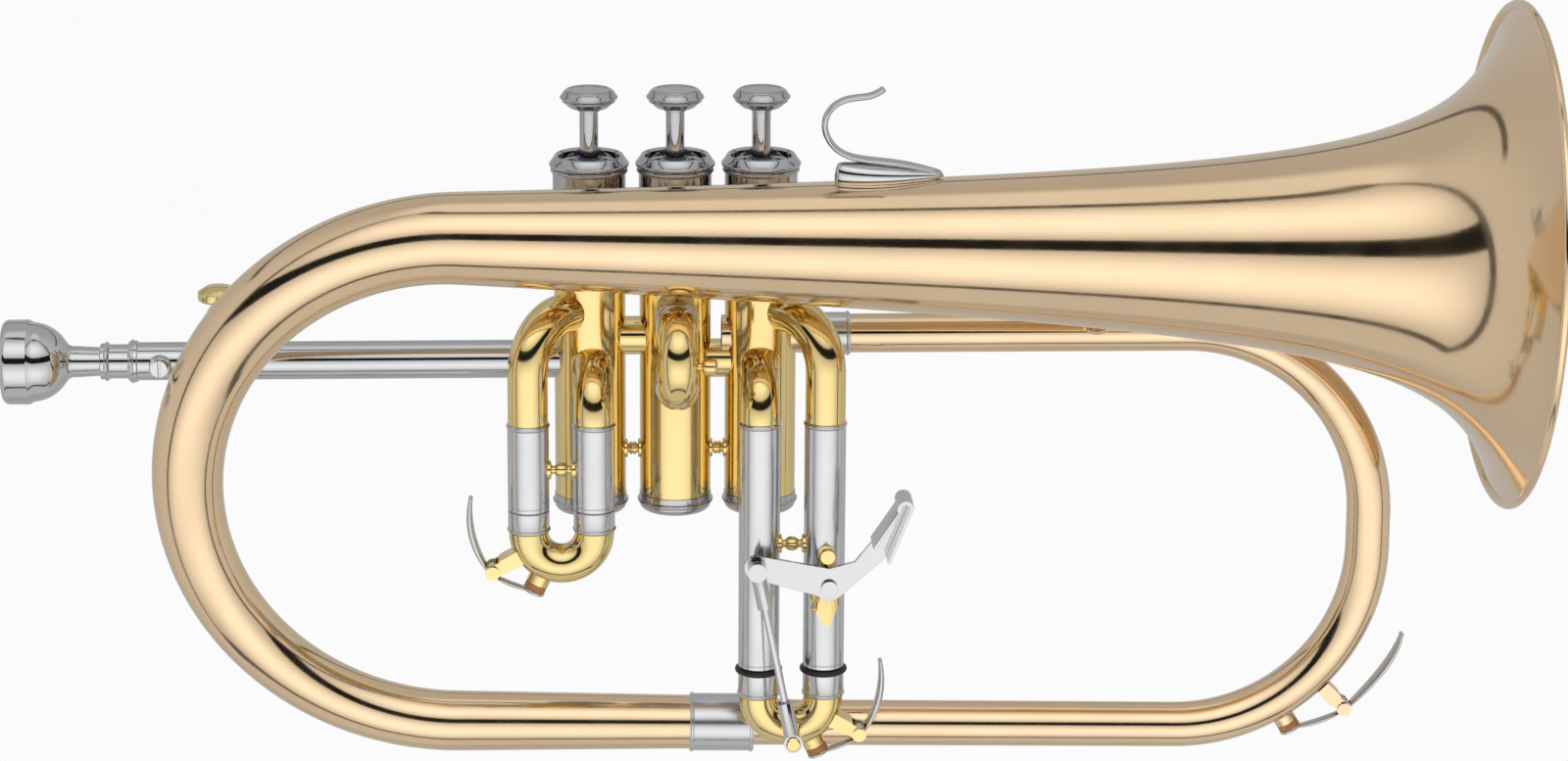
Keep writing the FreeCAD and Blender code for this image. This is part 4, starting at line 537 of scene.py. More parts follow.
def build_bell(sizes):
    place = placed(sizes.mouth, bell_axis(sizes))
    steps = 120
    outer = []
    for step in range(steps + 1):
        back = sizes.bell_length * (1 - step / steps) ** 2.2
        outer.append((flare_radius(sizes, back), -back))
    inner = []
    for index, (radius, height) in enumerate(outer):
        before = outer[max(index - 1, 0)]
        after = outer[min(index + 1, steps)]
        along = Vector((after[0] - before[0], after[1] - before[1])).normalized()
        inner.append((radius - along.y * sizes.wall, height + along.x * sizes.wall))
    inner[0] = (inner[0][0], outer[0][1])
    lathed("bell", outer + inner[::-1], [place], 192, ["bell_flare"])
    rim = arc((sizes.rim_radius - 0.1 * MM, 0), sizes.rim_bead, 0, 345, 23)
    lathed("bell_rim", rim, [place], 192, ["bell_rim_wire"])


def through_three(first, halfway, last):
    """Smooth radius from first at 0, through halfway at a half, to last at 1."""
    curve = 2 * (first + last) - 4 * halfway
    slope = last - first - curve
    return lambda part: first + slope * part + curve * part * part


def build_main_tubing(sizes):
    axis = bell_axis(sizes)
    mouth = Vector(sizes.mouth)
    tail = mouth - axis * sizes.bell_length
    up = Vector((0, -sizes.bow_depth, sizes.bow_drop))
    up = (up - axis * up.dot(axis)).normalized()
    radius = math.hypot(sizes.bow_drop, sizes.bow_depth) / 2
    tube = through_three(sizes.tail_radius, sizes.bow_side, sizes.bow_foot)
    bow = bend(tail - up * radius, up, -axis, radius, 180, tube, 96)
    foot = bow[-1][0]
    rise = sizes.bow_depth + mouth.y
    lift = sizes.branch_run + 2 * sizes.branch_bend
    branch_up = Vector((0, -rise, math.sqrt(lift ** 2 - rise ** 2))).normalized()
    exit_end = Vector((sizes.branch_turn, 0, sizes.exit_height))
    top_centre = exit_end - branch_up * sizes.branch_bend
    side_centre = top_centre - branch_up * sizes.branch_run
    landing = side_centre - branch_up * sizes.branch_bend
    slope = math.degrees(math.atan2(foot.z - landing.z, landing.x - foot.x))
    half = through_three(sizes.branch_top, sizes.branch_side, sizes.branch_foot)
    upper = bend(top_centre, branch_up, X_AXIS, sizes.branch_bend, 90,
                 lambda part: half(part / 2), 48)
    lower = bend(side_centre, X_AXIS, -branch_up, sizes.branch_bend, 90 + slope,
                 lambda part: half(0.5 + part / 2), 48)
    ferrule_low, ferrule_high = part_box("bow_ferrule")
    run = (lower[-1][0] - foot).normalized()
    joint = foot + run * (((ferrule_low.x + ferrule_high.x) / 2 - foot.x) / run.x)
    bm = bmesh.new()
    gap = run * 0.05 * MM
    swept(bm, bow + straight(bow[-1][0], joint - gap, sizes.bow_foot, sizes.bow_end, 12)[1:],
          sizes.wall, 96)
    finished("large_bow", bm, ["bell_bow"])
    start = Vector((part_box("main_branch")[0].x, 0, sizes.exit_height))
    stations = straight(start, upper[0][0], sizes.branch_exit, sizes.branch_top, 16)[:-1]
    stations += upper + straight(upper[-1][0], lower[0][0], upper[-1][2], lower[0][2], 4)[1:-1]
    stations += lower + straight(lower[-1][0], joint + gap, sizes.branch_foot, sizes.small_end, 12)[1:]
    bm = bmesh.new()
    swept(bm, stations, sizes.wall, 64)
    finished("branch_tube", bm, ["main_branch"])
    build_bow_ferrule(sizes, joint, run)
    build_exit_ferrule(sizes)


def build_bow_ferrule(sizes, joint, run):
    """Bottom ferrule with a bead at each end and a seam in its middle."""
    low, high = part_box("bow_ferrule")
    half = (high.x - low.x) / 2 / run.x
    outer = sizes.ferrule_radius
    outline = [(outer - 1.4 * MM, half), (outer - 0.1 * MM, half)]
    outline += arc((outer - 0.1 * MM, half - 0.75 * MM), 0.5 * MM, 80, -80, 8)
    outline += [(outer, half - 1.5 * MM), (outer, -half + 1.5 * MM)]
    outline += arc((outer - 0.1 * MM, -half + 0.75 * MM), 0.5 * MM, 80, -80, 8)
    outline += [(outer - 0.1 * MM, -half), (sizes.bow_end + 0.1 * MM, -half),
                (sizes.bow_end + 0.1 * MM, 0), (sizes.small_end + 0.1 * MM, 0),
                (sizes.small_end + 0.1 * MM, half)]
    lathed("bottom_ferrule", outline, [placed(joint, run)], 96, ["bow_ferrule"], BAND_EDGE)


def build_exit_ferrule(sizes):
    low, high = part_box("exit_ferrule")
    outer = (high.z - low.z) / 2 - 0.35 * MM
    span = high.x - low.x
    outline = [(sizes.branch_exit + 0.06 * MM, 0), (outer, 0), (outer, span - 1.4 * MM)]
    outline += arc((outer - 0.1 * MM, span - 0.75 * MM), 0.5 * MM, -80, 80, 8)
    outline += [(outer - 0.1 * MM, span), (sizes.branch_exit + 0.06 * MM, span)]
    place = placed((low.x, 0, sizes.exit_height), X_AXIS)
    lathed("exit_ferrule_band", outline, [place], 64, ["exit_ferrule"], BAND_EDGE)


# ---------------------------------------------------------------- valves

def valve_place(valve, height=0.0):
    return Matrix.Translation((middle(f"valve_casing_{valve}").x, 0, height))


def build_casings(sizes):
    """Casings with a shoulder and a threaded neck."""
    for valve in VALVES:
        name = f"valve_casing_{valve}"
        low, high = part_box(name)
        bore, outer = sizes.casing_bore, sizes.casing_radius
        outline = [(bore, low.z), (outer, low.z), (outer, sizes.shoulder),
                   (sizes.neck_radius, sizes.shoulder), (sizes.neck_radius, high.z), (bore, high.z)]
        lathed(f"casing_barrel_{valve}", outline, [valve_place(valve)], 96, [name], 0.15 * MM)


def knurled(bm, radius, low, high, sizes, place):
    """Ring of fine upright ridges."""
    steps = sizes.ridges * 2
    mean = (low + high) / 2
    outline = [(radius - 0.8 * MM, low), (radius - 0.2 * MM, low), (radius, low + 0.2 * MM),
               (radius, mean), (radius, high - 0.2 * MM), (radius - 0.2 * MM, high),
               (radius - 0.8 * MM, high)]
    verts = turned(bm, outline, Matrix.Identity(4), steps)
    for vert in verts:
        around = math.hypot(vert.co.x, vert.co.y)
        if around < radius - 0.1 * MM:
            continue
        turn = round(math.atan2(vert.co.y, vert.co.x) / (2 * math.pi / steps))
        if turn % 2:
            factor = (around - sizes.ridge_depth) / around
            vert.co.x *= factor
            vert.co.y *= factor
    bmesh.ops.transform(bm, matrix=place, verts=verts, space=Matrix.Identity(4))


def build_top_caps(sizes):
    """Caps with a knurled ring, a rounded lip, a bevelled top and a deep recess."""
    bm = bmesh.new()
    low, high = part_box("top_caps")
    recess = sizes.cap_recess
    for valve in VALVES:
        place = valve_place(valve)
        lip = high.z - 2.9 * MM
        outline = [(sizes.neck_radius + 0.05 * MM, low.z), (11.0 * MM, low.z),
                   (11.0 * MM, lip - 2.6 * MM), (11.1 * MM, lip - 2.5 * MM),
                   (11.15 * MM, lip - 1.1 * MM)]
        outline += arc((sizes.cap_lip - 0.75 * MM, lip), 0.75 * MM, -70, 62, 10)
        outline += [(10.4 * MM, high.z - 0.35 * MM)]
        outline += arc((10.0 * MM, high.z - 0.4 * MM), 0.4 * MM, 50, 130, 6)
        outline += [(recess, high.z - 0.7 * MM), (recess, lip + 0.3 * MM),
                    (recess - 0.3 * MM, lip), (2.86 * MM, lip + 0.1 * MM),
                    (2.86 * MM, lip - 1.9 * MM), (sizes.neck_radius + 0.05 * MM, lip - 1.9 * MM)]
        turned(bm, outline, place, 96)
        knurled(bm, 11.6 * MM, lip - 2.3 * MM, lip - 1.1 * MM, sizes, place)
    finished("top_cap_set", bm, ["top_caps"], 0.0)


def build_felts():
    low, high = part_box("cap_felts")
    height = high.z - low.z
    outline = [(3.35 * MM, 0), (4.75 * MM, 0), (4.75 * MM, height * 0.7), (4.4 * MM, height),
               (3.7 * MM, height), (3.35 * MM, height * 0.7)]
    places = [valve_place(valve, low.z) for valve in VALVES]
    lathed("cap_felt_set", outline, places, 48, ["cap_felts"], 0.2 * MM)


def build_bottom_caps():
    low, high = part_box("bottom_caps")
    foot = low.z
    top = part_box("valve_casing_2")[0].z
    lip = 11.4 * MM
    outline = [(1.6 * MM, foot), (8.8 * MM, foot)]
    outline += arc((8.8 * MM, foot + 2.2 * MM), 2.2 * MM, -90, 0, 8)[1:]
    outline += [(lip - 0.5 * MM, foot + 2.4 * MM)]
    outline += arc((lip - 0.4 * MM, foot + 3.0 * MM), 0.6 * MM, -60, 60, 6)
    outline += [(11.0 * MM, foot + 3.7 * MM), (11.0 * MM, top), (8.97 * MM, top),
                (8.97 * MM, high.z), (7.6 * MM, high.z), (7.6 * MM, foot + 1.4 * MM),
                (1.6 * MM, foot + 1.4 * MM)]
    places = [valve_place(valve) for valve in VALVES]
    lathed("bottom_cap_set", outline, places, 96, ["bottom_caps"], 0.1 * MM)


def build_buttons():
    """Finger buttons with a flat top, a bevelled edge and a stepped underside."""
    for valve in VALVES:
        name = f"finger_button_{valve}"
        low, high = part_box(name)
        radius = (high.x - low.x) / 2
        top = high.z
        edge = top - 2.4 * MM
        base = low.z + 1.0 * MM
        outline = [(0, top - 0.3 * MM), (5.7 * MM, top - 0.3 * MM), (6.1 * MM, top - 0.05 * MM),
                   (6.5 * MM, top), (6.8 * MM, top - 0.1 * MM), (7.5 * MM, top - 0.6 * MM),
                   (8.1 * MM, top - 1.5 * MM)]
        outline += arc((radius - 0.4 * MM, edge), 0.4 * MM, 50, -50, 6)
        outline += [(8.05 * MM, edge - 0.7 * MM), (7.8 * MM, edge - 0.85 * MM)]
        outline += arc((7.7 * MM, edge - 1.15 * MM), 0.3 * MM, 60, -60, 5)
        outline += [(7.5 * MM, edge - 1.5 * MM), (6.9 * MM, edge - 2.1 * MM),
                    (6.2 * MM, base + 0.5 * MM), (5.6 * MM, base + 0.1 * MM),
                    (4.2 * MM, base), (3.3 * MM, base - 0.15 * MM), (3.3 * MM, low.z + 0.1 * MM),
                    (3.2 * MM, low.z), (2.82 * MM, low.z), (2.82 * MM, base), (0, base + 0.02 * MM)]
        place = Matrix.Translation((middle(name).x, 0, 0))
        lathed(f"button_{valve}", outline, [place], 96, [name], BAND_EDGE, 28.0)


def turned_stay(bm, left, right, place_y, height, seat):
    """Turned bar with a flange at each tube, a barrel in the middle and a groove round it."""
    span = right - left
    half = span / 2
    gap = half - seat
    flange = 2.9 * MM
    foot = [(0, seat - 1.2 * MM), (flange, seat - 1.2 * MM), (flange, seat + 0.25 * MM)]
    foot += arc((flange - 0.25 * MM, seat + 0.3 * MM), 0.25 * MM, 0, 90, 4)
    outline = foot + [(1.5 * MM, seat + 0.65 * MM), (1.35 * MM, seat + 0.9 * MM),
                      (1.9 * MM, seat + 1.15 * MM), (2.0 * MM, half - 0.35 * MM),
                      (1.75 * MM, half - 0.12 * MM), (1.75 * MM, half)]
    if gap > 2.4 * MM:
        outline = foot + [(1.4 * MM, seat + 0.8 * MM), (1.2 * MM, seat + 1.3 * MM),
                          (1.3 * MM, half - 1.9 * MM), (1.9 * MM, half - 1.4 * MM),
                          (2.2 * MM, half - 0.6 * MM), (2.2 * MM, half)]
    mirrored = [(radius, span - height_here) for radius, height_here in reversed(outline[:-1])]
    turned(bm, outline + mirrored, placed((left, place_y, height), X_AXIS), 40)


def build_stays(sizes, slides):
    """Turned bars between the casings and between the sleeves of each slide."""
    bm = bmesh.new()
    stations = [middle(f"valve_casing_{valve}").x for valve in VALVES]
    height = middle("casing_stays").z
    for left, right in zip(stations, stations[1:]):
        turned_stay(bm, left, right, 0, height, sizes.casing_radius)
    finished("casing_stay_set", bm, ["casing_stays"], FINE_EDGE)
    bm = bmesh.new()
    for valve, drop in ((1, slides.first_stay), (3, slides.third_stay)):
        left, right = sorted(leg_places(slides, valve)[1:])
        turned_stay(bm, left, right, -slides.plane, -drop, slides.sleeve)
    finished("sleeve_stay_set", bm, ["sleeve_stays"], FINE_EDGE)


# ---------------------------------------------------------------- slides

SLIDING_FIT = 0.05 * MM
KNUCKLE_START = 9.4 * MM
LEG_GAP = 0.3 * MM
BOW_LEAD = 0.4 * MM


def leg_places(sizes, valve):
    """X of the inner and the outer leg, and the side they stand on."""
    station = middle(f"valve_casing_{valve}").x
    side = -1 if station < 0 else 1
    inner = station - side * sizes.offset
    return station, inner, inner + side * sizes.gap


def leg_centres(sizes, valve, height=0.0):
    return [Matrix.Translation((leg, -sizes.plane, height)) for leg in leg_places(sizes, valve)[1:]]


def knuckle_stations(sizes, station, leg, port, radius, end):
    """Stations out of a casing's port, round a quarter bend and down to the sleeve."""
    start = Vector((station, 0, port))
    out = Vector((leg - station, -sizes.plane, 0))
    reach = out.length
    out.normalize()
    corner = start + out * (reach - radius)
    centre = corner - Z_AXIS * radius
    stations = straight(start + out * KNUCKLE_START, corner, sizes.knuckle, sizes.knuckle, 3)
    stations += bend(centre, Z_AXIS, out, radius, 90, sizes.knuckle, 32)[1:]
    low = centre + out * radius
    if low.z - end > 0.05 * MM:
        stations += straight(low, Vector((low.x, low.y, end)), sizes.knuckle, sizes.knuckle, 3)[1:]
    return stations


def build_knuckles(sizes):
    for valve, word in ((1, "first"), (3, "third")):
        station, inner, outer = leg_places(sizes, valve)
        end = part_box(f"{word}_sleeves")[1].z
        bm = bmesh.new()
        swept(bm, knuckle_stations(sizes, station, inner, sizes.lower_port,
                                   sizes.lower_port - end, end), sizes.wall, 64)
        swept(bm, knuckle_stations(sizes, station, outer, sizes.upper_port, sizes.upper_bend, end),
              sizes.wall, 64)
        finished(f"{word}_knuckle_pair", bm, [f"{word}_knuckles"])


def sleeve_outline(sizes, bore, low, high):
    """Sleeve with a beaded upper end and a turned lower lip."""
    outer = sizes.sleeve
    outline = [(bore, low), (outer - 0.15 * MM, low), (outer, low + 0.15 * MM),
               (outer, low + 1.1 * MM), (outer - 0.12 * MM, low + 1.2 * MM),
               (outer - 0.12 * MM, low + 1.4 * MM), (outer, low + 1.5 * MM),
               (outer, high - 1.7 * MM), (outer - 0.12 * MM, high - 1.6 * MM),
               (outer - 0.12 * MM, high - 1.5 * MM)]
    outline += arc((outer - 0.15 * MM, high - 0.95 * MM), 0.5 * MM, -60, 60, 8)
    outline += [(outer - 0.1 * MM, high - 0.2 * MM), (outer - 0.4 * MM, high), (bore, high)]
    return outline


def build_sleeves(sizes):
    for valve, word in ((1, "first"), (3, "third")):
        low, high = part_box(f"{word}_sleeves")
        outline = sleeve_outline(sizes, sizes.inner + SLIDING_FIT, low.z, high.z)
        lathed(f"{word}_sleeve_pair", outline, leg_centres(sizes, valve), 80,
               [f"{word}_sleeves"], FINE_EDGE)


def leg_outline(sizes, low, shoulder, high):
    """Inner leg with the beaded ferrule that joins it to its bow."""
    bore = sizes.inner - 0.5 * MM
    outer = sizes.sleeve
    outline = [(bore, low), (outer - 0.3 * MM, low)]
    outline += arc((outer - 0.15 * MM, low + 0.8 * MM), 0.5 * MM, -70, 70, 8)
    outline += [(outer - 0.1 * MM, low + 1.4 * MM), (outer, low + 1.6 * MM),
                (outer, shoulder - 0.15 * MM), (outer - 0.15 * MM, shoulder),
                (sizes.inner, shoulder), (sizes.inner, high), (bore, high)]
    return outline


def build_slide_legs(sizes):
    for valve, word, rings in ((1, "first", 0.0), (3, "third", 1.72 * MM)):
        low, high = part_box(f"{word}_slide_legs")
        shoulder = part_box(f"{word}_sleeves")[0].z - LEG_GAP - rings
        lathed(f"{word}_inner_legs", leg_outline(sizes, low.z, shoulder, high.z),
               leg_centres(sizes, valve), 80, [f"{word}_slide_legs"], FINE_EDGE)


def build_o_rings(sizes):
    low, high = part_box("third_slide_o_rings")
    section = (high.z - low.z) / 2
    ring = arc((sizes.inner + section + 0.02 * MM, 0), section, 0, 342, 19)
    lathed("o_ring_pair", ring, leg_centres(sizes, 3, low.z + section), 72,
           ["third_slide_o_rings"])


def build_second_slide(sizes):
    sleeve_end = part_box("second_sleeves")[0].y
    legs_low, legs_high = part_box("second_slide_legs")
    upper = sizes.second_port
    heights = (upper, upper - sizes.second_gap)
    sleeve = sleeve_outline(sizes, sizes.inner + SLIDING_FIT, 9.6 * MM, -sleeve_end)
    places = [placed((0, 0, height), -Y_AXIS) for height in heights]
    lathed("second_sleeve_pair", sleeve, places, 80, ["second_sleeves"], FINE_EDGE)
    leg = leg_outline(sizes, legs_low.y, sleeve_end - LEG_GAP, legs_high.y)
    places = [placed((0, 0, height), Y_AXIS) for height in heights]
    lathed("second_inner_legs", leg, places, 80, ["second_slide_legs"], FINE_EDGE)
    radius = sizes.second_gap / 2
    bm = bmesh.new()
    swept(bm, bow_stations(sizes, Vector((0, legs_low.y, upper)), Z_AXIS, -Y_AXIS, radius),
          sizes.wall, 64)
    knob_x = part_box("second_slide_bow")[1].x
    knob = [(0, 5.2 * MM), (1.1 * MM, 5.2 * MM), (1.1 * MM, 6.9 * MM), (1.7 * MM, 7.1 * MM),
            (2.3 * MM, 7.6 * MM), (2.6 * MM, 8.4 * MM), (2.6 * MM, knob_x - 0.9 * MM),
            (2.1 * MM, knob_x - 0.25 * MM), (1.4 * MM, knob_x), (0, knob_x)]
    front = legs_low.y - BOW_LEAD - radius
    turned(bm, knob, placed((0, front, upper - radius), X_AXIS), 40)
    finished("second_bow", bm, ["second_slide_bow"])


def bow_stations(sizes, top, side, out, radius):
    """Stations of a U bend that starts at top, leads out, and comes back against side."""
    turn_start = top + out * BOW_LEAD
    stations = straight(top, turn_start, sizes.bow, sizes.bow)
    stations += bend(turn_start - side * radius, side, out, radius, 180, sizes.bow, 48)[1:]
    end = stations[-1][0]
    return stations + straight(end, end - out * BOW_LEAD, sizes.bow, sizes.bow)[1:]


def build_slide_bows(sizes):
    for valve, word in ((1, "first"), (3, "third")):
        left, right = sorted(leg_places(sizes, valve)[1:])
        top = Vector((right, -sizes.plane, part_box(f"{word}_slide_legs")[0].z))
        bm = bmesh.new()
        swept(bm, bow_stations(sizes, top, X_AXIS, -Z_AXIS, (right - left) / 2), sizes.wall, 64)
        if word == "third":
            build_foot_pin(bm)
        finished(f"{word}_bow", bm, [f"{word}_slide_bow"])


def build_foot_pin(bm):
    """Lug on the third slide's bow with the slotted screw that carries the link rod."""
    pivot = frame_joint("link_rod_swing")
    place = placed((pivot[0], 0, pivot[2]), -Y_AXIS)
    front = -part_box("third_slide_bow")[0].y
    lug = [(0, 25.5 * MM), (2.9 * MM, 25.5 * MM), (2.7 * MM, 33.0 * MM), (1.2 * MM, 33.0 * MM),
           (1.2 * MM, front - 0.9 * MM), (2.2 * MM, front - 0.9 * MM), (2.2 * MM, front - 0.3 * MM),
           (1.8 * MM, front), (0, front)]
    turned(bm, lug, place, 40)


def frame_joint(name):
    """Pivot of a joint."""
    return [joint["pos_m"] for joint in frame["joints"] if joint["name"] == name][0]


# ---------------------------------------------------------------- mouthpipe and mouthpiece

def build_mouthpipe():
    low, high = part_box("mouthpipe")
    end = -low.x
    bore = 5.25 * MM
    outer = 5.8 * MM
    outline = [(bore, -high.x), (outer, -high.x), (outer, end - 2.9 * MM), (6.3 * MM, end - 2.7 * MM)]
    outline += arc((6.1 * MM, end - 1.2 * MM), 0.55 * MM, -60, 60, 6)
    outline += [(6.1 * MM, end - 0.3 * MM), (5.8 * MM, end), (bore, end)]
    bm = bmesh.new()
    turned(bm, outline, placed((0, 0, 0), -X_AXIS), 80)
    station = frame_joint("set_screw_turn")[0]
    boss = [(1.5 * MM, 5.3 * MM), (3.5 * MM, 5.3 * MM), (3.2 * MM, 6.2 * MM), (3.2 * MM, 7.9 * MM),
            (2.9 * MM, 8.2 * MM), (1.5 * MM, 8.2 * MM)]
    turned(bm, boss, placed((station, 0, 0), -Y_AXIS), 40)
    finished("mouthpipe_tube", bm, ["mouthpipe"], FINE_EDGE)
    build_tuning_pipe()


def build_tuning_pipe():
    low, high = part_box("tuning_pipe")
    tip = -low.x
    inner = -high.x
    radius = 5.2 * MM
    outline = [(4.4 * MM, inner), (radius, inner), (radius, tip - 2.9 * MM),
               (radius + 0.3 * MM, tip - 2.7 * MM)]
    outline += arc((radius + 0.3 * MM, tip - 1.9 * MM), 0.5 * MM, -70, 70, 6)
    outline += [(radius + 0.3 * MM, tip - 1.2 * MM), (radius + 0.3 * MM, tip - 0.3 * MM),
                (radius, tip), (4.4 * MM, tip)]
    lathed("receiver_pipe", outline, [placed((0, 0, 0), -X_AXIS)], 80, ["tuning_pipe"], FINE_EDGE)


def build_mouthpiece():
    """Cup mouthpiece with a stepped rim, a round cup and a plain shank."""
    low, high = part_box("mouthpiece")
    face = -low.x
    tip = -high.x
    cup = face - 8.6 * MM
    rim = (high.z - low.z) / 2
    shank_end = tip + 22.0 * MM
    outline = [(2.9 * MM, tip), (3.9 * MM, tip), (4.35 * MM, shank_end), (4.55 * MM, shank_end + 4 * MM),
               (4.7 * MM, cup - 15.0 * MM)]
    outline += arc((7.4 * MM, cup - 12.9 * MM), 2.7 * MM, 190, 120, 6)
    outline += arc((0, cup), 12.1 * MM, -58, -4, 14)
    outline += [(rim, cup + 0.6 * MM), (rim, cup + 0.9 * MM), (rim - 0.05 * MM, face - 2.2 * MM)]
    outline += arc((rim - 2.2 * MM, face - 2.2 * MM), 2.15 * MM, 0, 90, 10)
    outline += arc((10.0 * MM, face - 1.7 * MM), 1.7 * MM, 90, 180, 8)
    outline += [(7.9 * MM, face - 5.0 * MM), (6.6 * MM, cup - 5.0 * MM), (3.6 * MM, cup - 10.5 * MM),
                (2.0 * MM, cup - 13.5 * MM), (2.0 * MM, cup - 16.0 * MM)]
    lathed("mouthpiece_body", outline, [placed((0, 0, 0), -X_AXIS)], 112, ["mouthpiece"],
           0.12 * MM, 25.0)


# ---------------------------------------------------------------- fittings

HOOK_STRAP = ((78.2, 64.4, 0.5), (74.0, 65.6, 1.6), (69.0, 66.9, 2.6), (63.0, 67.9, 3.0), (57.1, 68.5, 2.9),
              (51.5, 69.3, 2.6), (47.8, 70.9, 2.4), (45.2, 73.3, 2.2), (43.5, 76.4, 2.1),
              (43.0, 79.2, 2.1), (43.6, 82.2, 2.1), (45.5, 84.9, 2.1), (48.5, 86.7, 2.1),
              (52.0, 87.4, 2.1), (55.6, 87.6, 2.1), (58.0, 88.4, 2.2), (60.0, 89.6, 2.2),
              (60.7, 90.2, 1.6))
HOOK_BASE = ((46.2, 64.3, 1.6, 3.4), (48.0, 64.1, 2.8, 4.0), (52.0, 64.0, 3.8, 4.1), (58.0, 63.9, 4.4, 3.9),
             (65.0, 63.8, 4.0, 3.3), (71.0, 63.7, 2.6, 2.3), (76.0, 63.8, 1.3, 1.3), (78.6, 63.9, 0.4, 0.5))
STRAP_HALF_THICKNESS = 1.0


def strap_stations(points, depth):
    """Stations through (x, z, half width[, half thickness]) points in millimetres."""
    spots = [Vector((point[0], depth / MM, point[1])) * MM for point in points]
    stations = []
    for index, point in enumerate(points):
        before = spots[max(index - 1, 0)]
        after = spots[min(index + 1, len(spots) - 1)]
        thick = point[3] if len(point) > 3 else STRAP_HALF_THICKNESS
        stations.append((spots[index], (after - before).normalized(), (point[2] * MM, thick * MM)))
    return stations


def build_finger_hook(sizes):
    """Strap hook that rises from a boat-shaped foot on the bell."""
    depth = sizes.mouth[1]
    bm = bmesh.new()
    swept(bm, strap_stations(HOOK_STRAP, depth), None, 24, Y_AXIS)
    swept(bm, strap_stations(HOOK_BASE, depth), None, 24, Y_AXIS)
    piece = finished("hook_strap", bm, ["finger_hook"], 0.0, 60.0)
    rounder = piece.modifiers.new("rounder", "SUBSURF")
    rounder.levels = 2
    rounder.render_levels = 2


def bowed(first, halfway, last, steps=14):
    """Points of a smooth bow through three points."""
    first, halfway, last = Vector(first), Vector(halfway), Vector(last)
    control = halfway * 2 - (first + last) / 2
    points = []
    for step in range(steps + 1):
        part = step / steps
        points.append(first * (1 - part) ** 2 + control * 2 * part * (1 - part) + last * part ** 2)
    return points


# name, angle from upright, side, pivot and tip from the cork's seat in millimetres
KEY_LEVERS = (("first_key", 25, -1, (14.0, 3.6), (29.5, -14.6)),
              ("third_key", 25, 1, (14.0, 3.6), (29.5, -14.6)),
              ("main_key", 31, 1, (17.6, 6.6), (45.0, -4.5)))
CORK_TOP = 4.1


def build_key_lever(word, swing_out, side, pivot_spot, tip, sizes):
    """Cast lever of a water key: cork cup, arm, barrel and a crescent for the finger."""
    pivot = Vector(frame_joint(f"{word}_lift"))
    out = Vector((side * math.sin(swing_out), 0, -math.cos(swing_out)))
    along = Vector((side * math.cos(swing_out), 0, math.sin(swing_out)))
    seat = pivot - along * pivot_spot[0] * MM - out * pivot_spot[1] * MM

    def spot(point):
        return seat + (along * point[0] + out * point[1]) * MM

    bm = bmesh.new()
    cup = [(0, 0), (3.3 * MM, 0), (3.5 * MM, 0.2 * MM), (3.5 * MM, 0.8 * MM), (2.9 * MM, 1.15 * MM),
           (0.9 * MM, 1.3 * MM), (0, 1.3 * MM)]
    turned(bm, cup, placed(seat + out * CORK_TOP * MM, out), 32)
    near = (pivot_spot[0] - 0.5, pivot_spot[1] + 1.6)
    elbow = (pivot_spot[0] * 0.5, (CORK_TOP + 0.55) * 0.4 + near[1] * 0.6 + 0.5)
    arm = bowed(spot((0.6, CORK_TOP + 0.6)), spot(elbow), spot(near), 10)
    crescent = bowed(spot(near), spot((pivot_spot[0] + (tip[0] - pivot_spot[0]) * 0.62,
                                       pivot_spot[1] + (tip[1] - pivot_spot[1]) * 0.36)), spot(tip), 18)
    for points, wide, thick in ((arm, sizes.arm_width, sizes.arm_thickness),
                                (crescent, sizes.key_width, sizes.crescent_thickness)):
        stations = []
        last = len(points) - 1
        for index, point in enumerate(points):
            heading = (points[min(index + 1, last)] - points[max(index - 1, 0)]).normalized()
            swell = math.sin(math.pi * min(max(index / last, 0.06), 0.94)) ** 0.6
            stations.append((point, heading, (wide / 2 * (0.7 + 0.3 * swell),
                                              thick / 2 * (0.35 + 0.65 * swell))))
        swept(bm, stations, None, 24, Y_AXIS)
    half = sizes.key_width / 2
    barrel = [(1.27 * MM, -half), (1.9 * MM, -half), (1.9 * MM, half), (1.27 * MM, half)]
    turned(bm, barrel, placed(pivot, Y_AXIS), 32)
    finished(f"{word}_lever_cast", bm, [f"{word}_lever"], 0.15 * MM, 50.0)


def build_key_levers(sizes):
    for word, degrees, side, pivot_spot, tip in KEY_LEVERS:
        build_key_lever(word, math.radians(degrees), side, pivot_spot, tip, sizes)


# CAD pieces whose own shape is finished by a merged copy with softened edges
PLAIN_COPIES = {
    "stays": ["crossover_tubes", "bell_braces"],
    "valve_insides": ["piston_1", "piston_2", "piston_3"],
    "trigger_works": ["trigger_lever", "trigger_bracket", "trigger_pivot_screw", "link_rod"],
    "water_key_works": ["first_key_bracket", "third_key_bracket", "main_key_bracket"],
    "small_fittings": ["lyre_socket", "lyre_screw", "set_screw"],
    "corks": ["first_key_cork", "third_key_cork", "main_key_cork"],
}
KEPT_NODES = ["valve_spring_1", "valve_spring_2", "valve_spring_3", "trigger_spring"]


def build_copies(group, edge=0.12 * MM):
    for name in PLAIN_COPIES[group]:
        polished(name, edge)


def dress_kept_nodes():
    """Finishes for the CAD pieces that stay as they are."""
    for name in KEPT_NODES:
        kept = frame["nodes"][name]
        kept.data.materials.clear()
        kept.data.materials.append(surface(SLOT_OF[name]))


# ---------------------------------------------------------------- stage

def math_node(tree, operation, *values):
    return node(tree, "ShaderNodeMath", dict(enumerate(values)), operation=operation).outputs[0]


def mixed(tree, factor, first, second):
    inputs = {0: factor, 2: first, 3: second}
    return node(tree, "ShaderNodeMix", inputs, data_type="FLOAT").outputs[0]


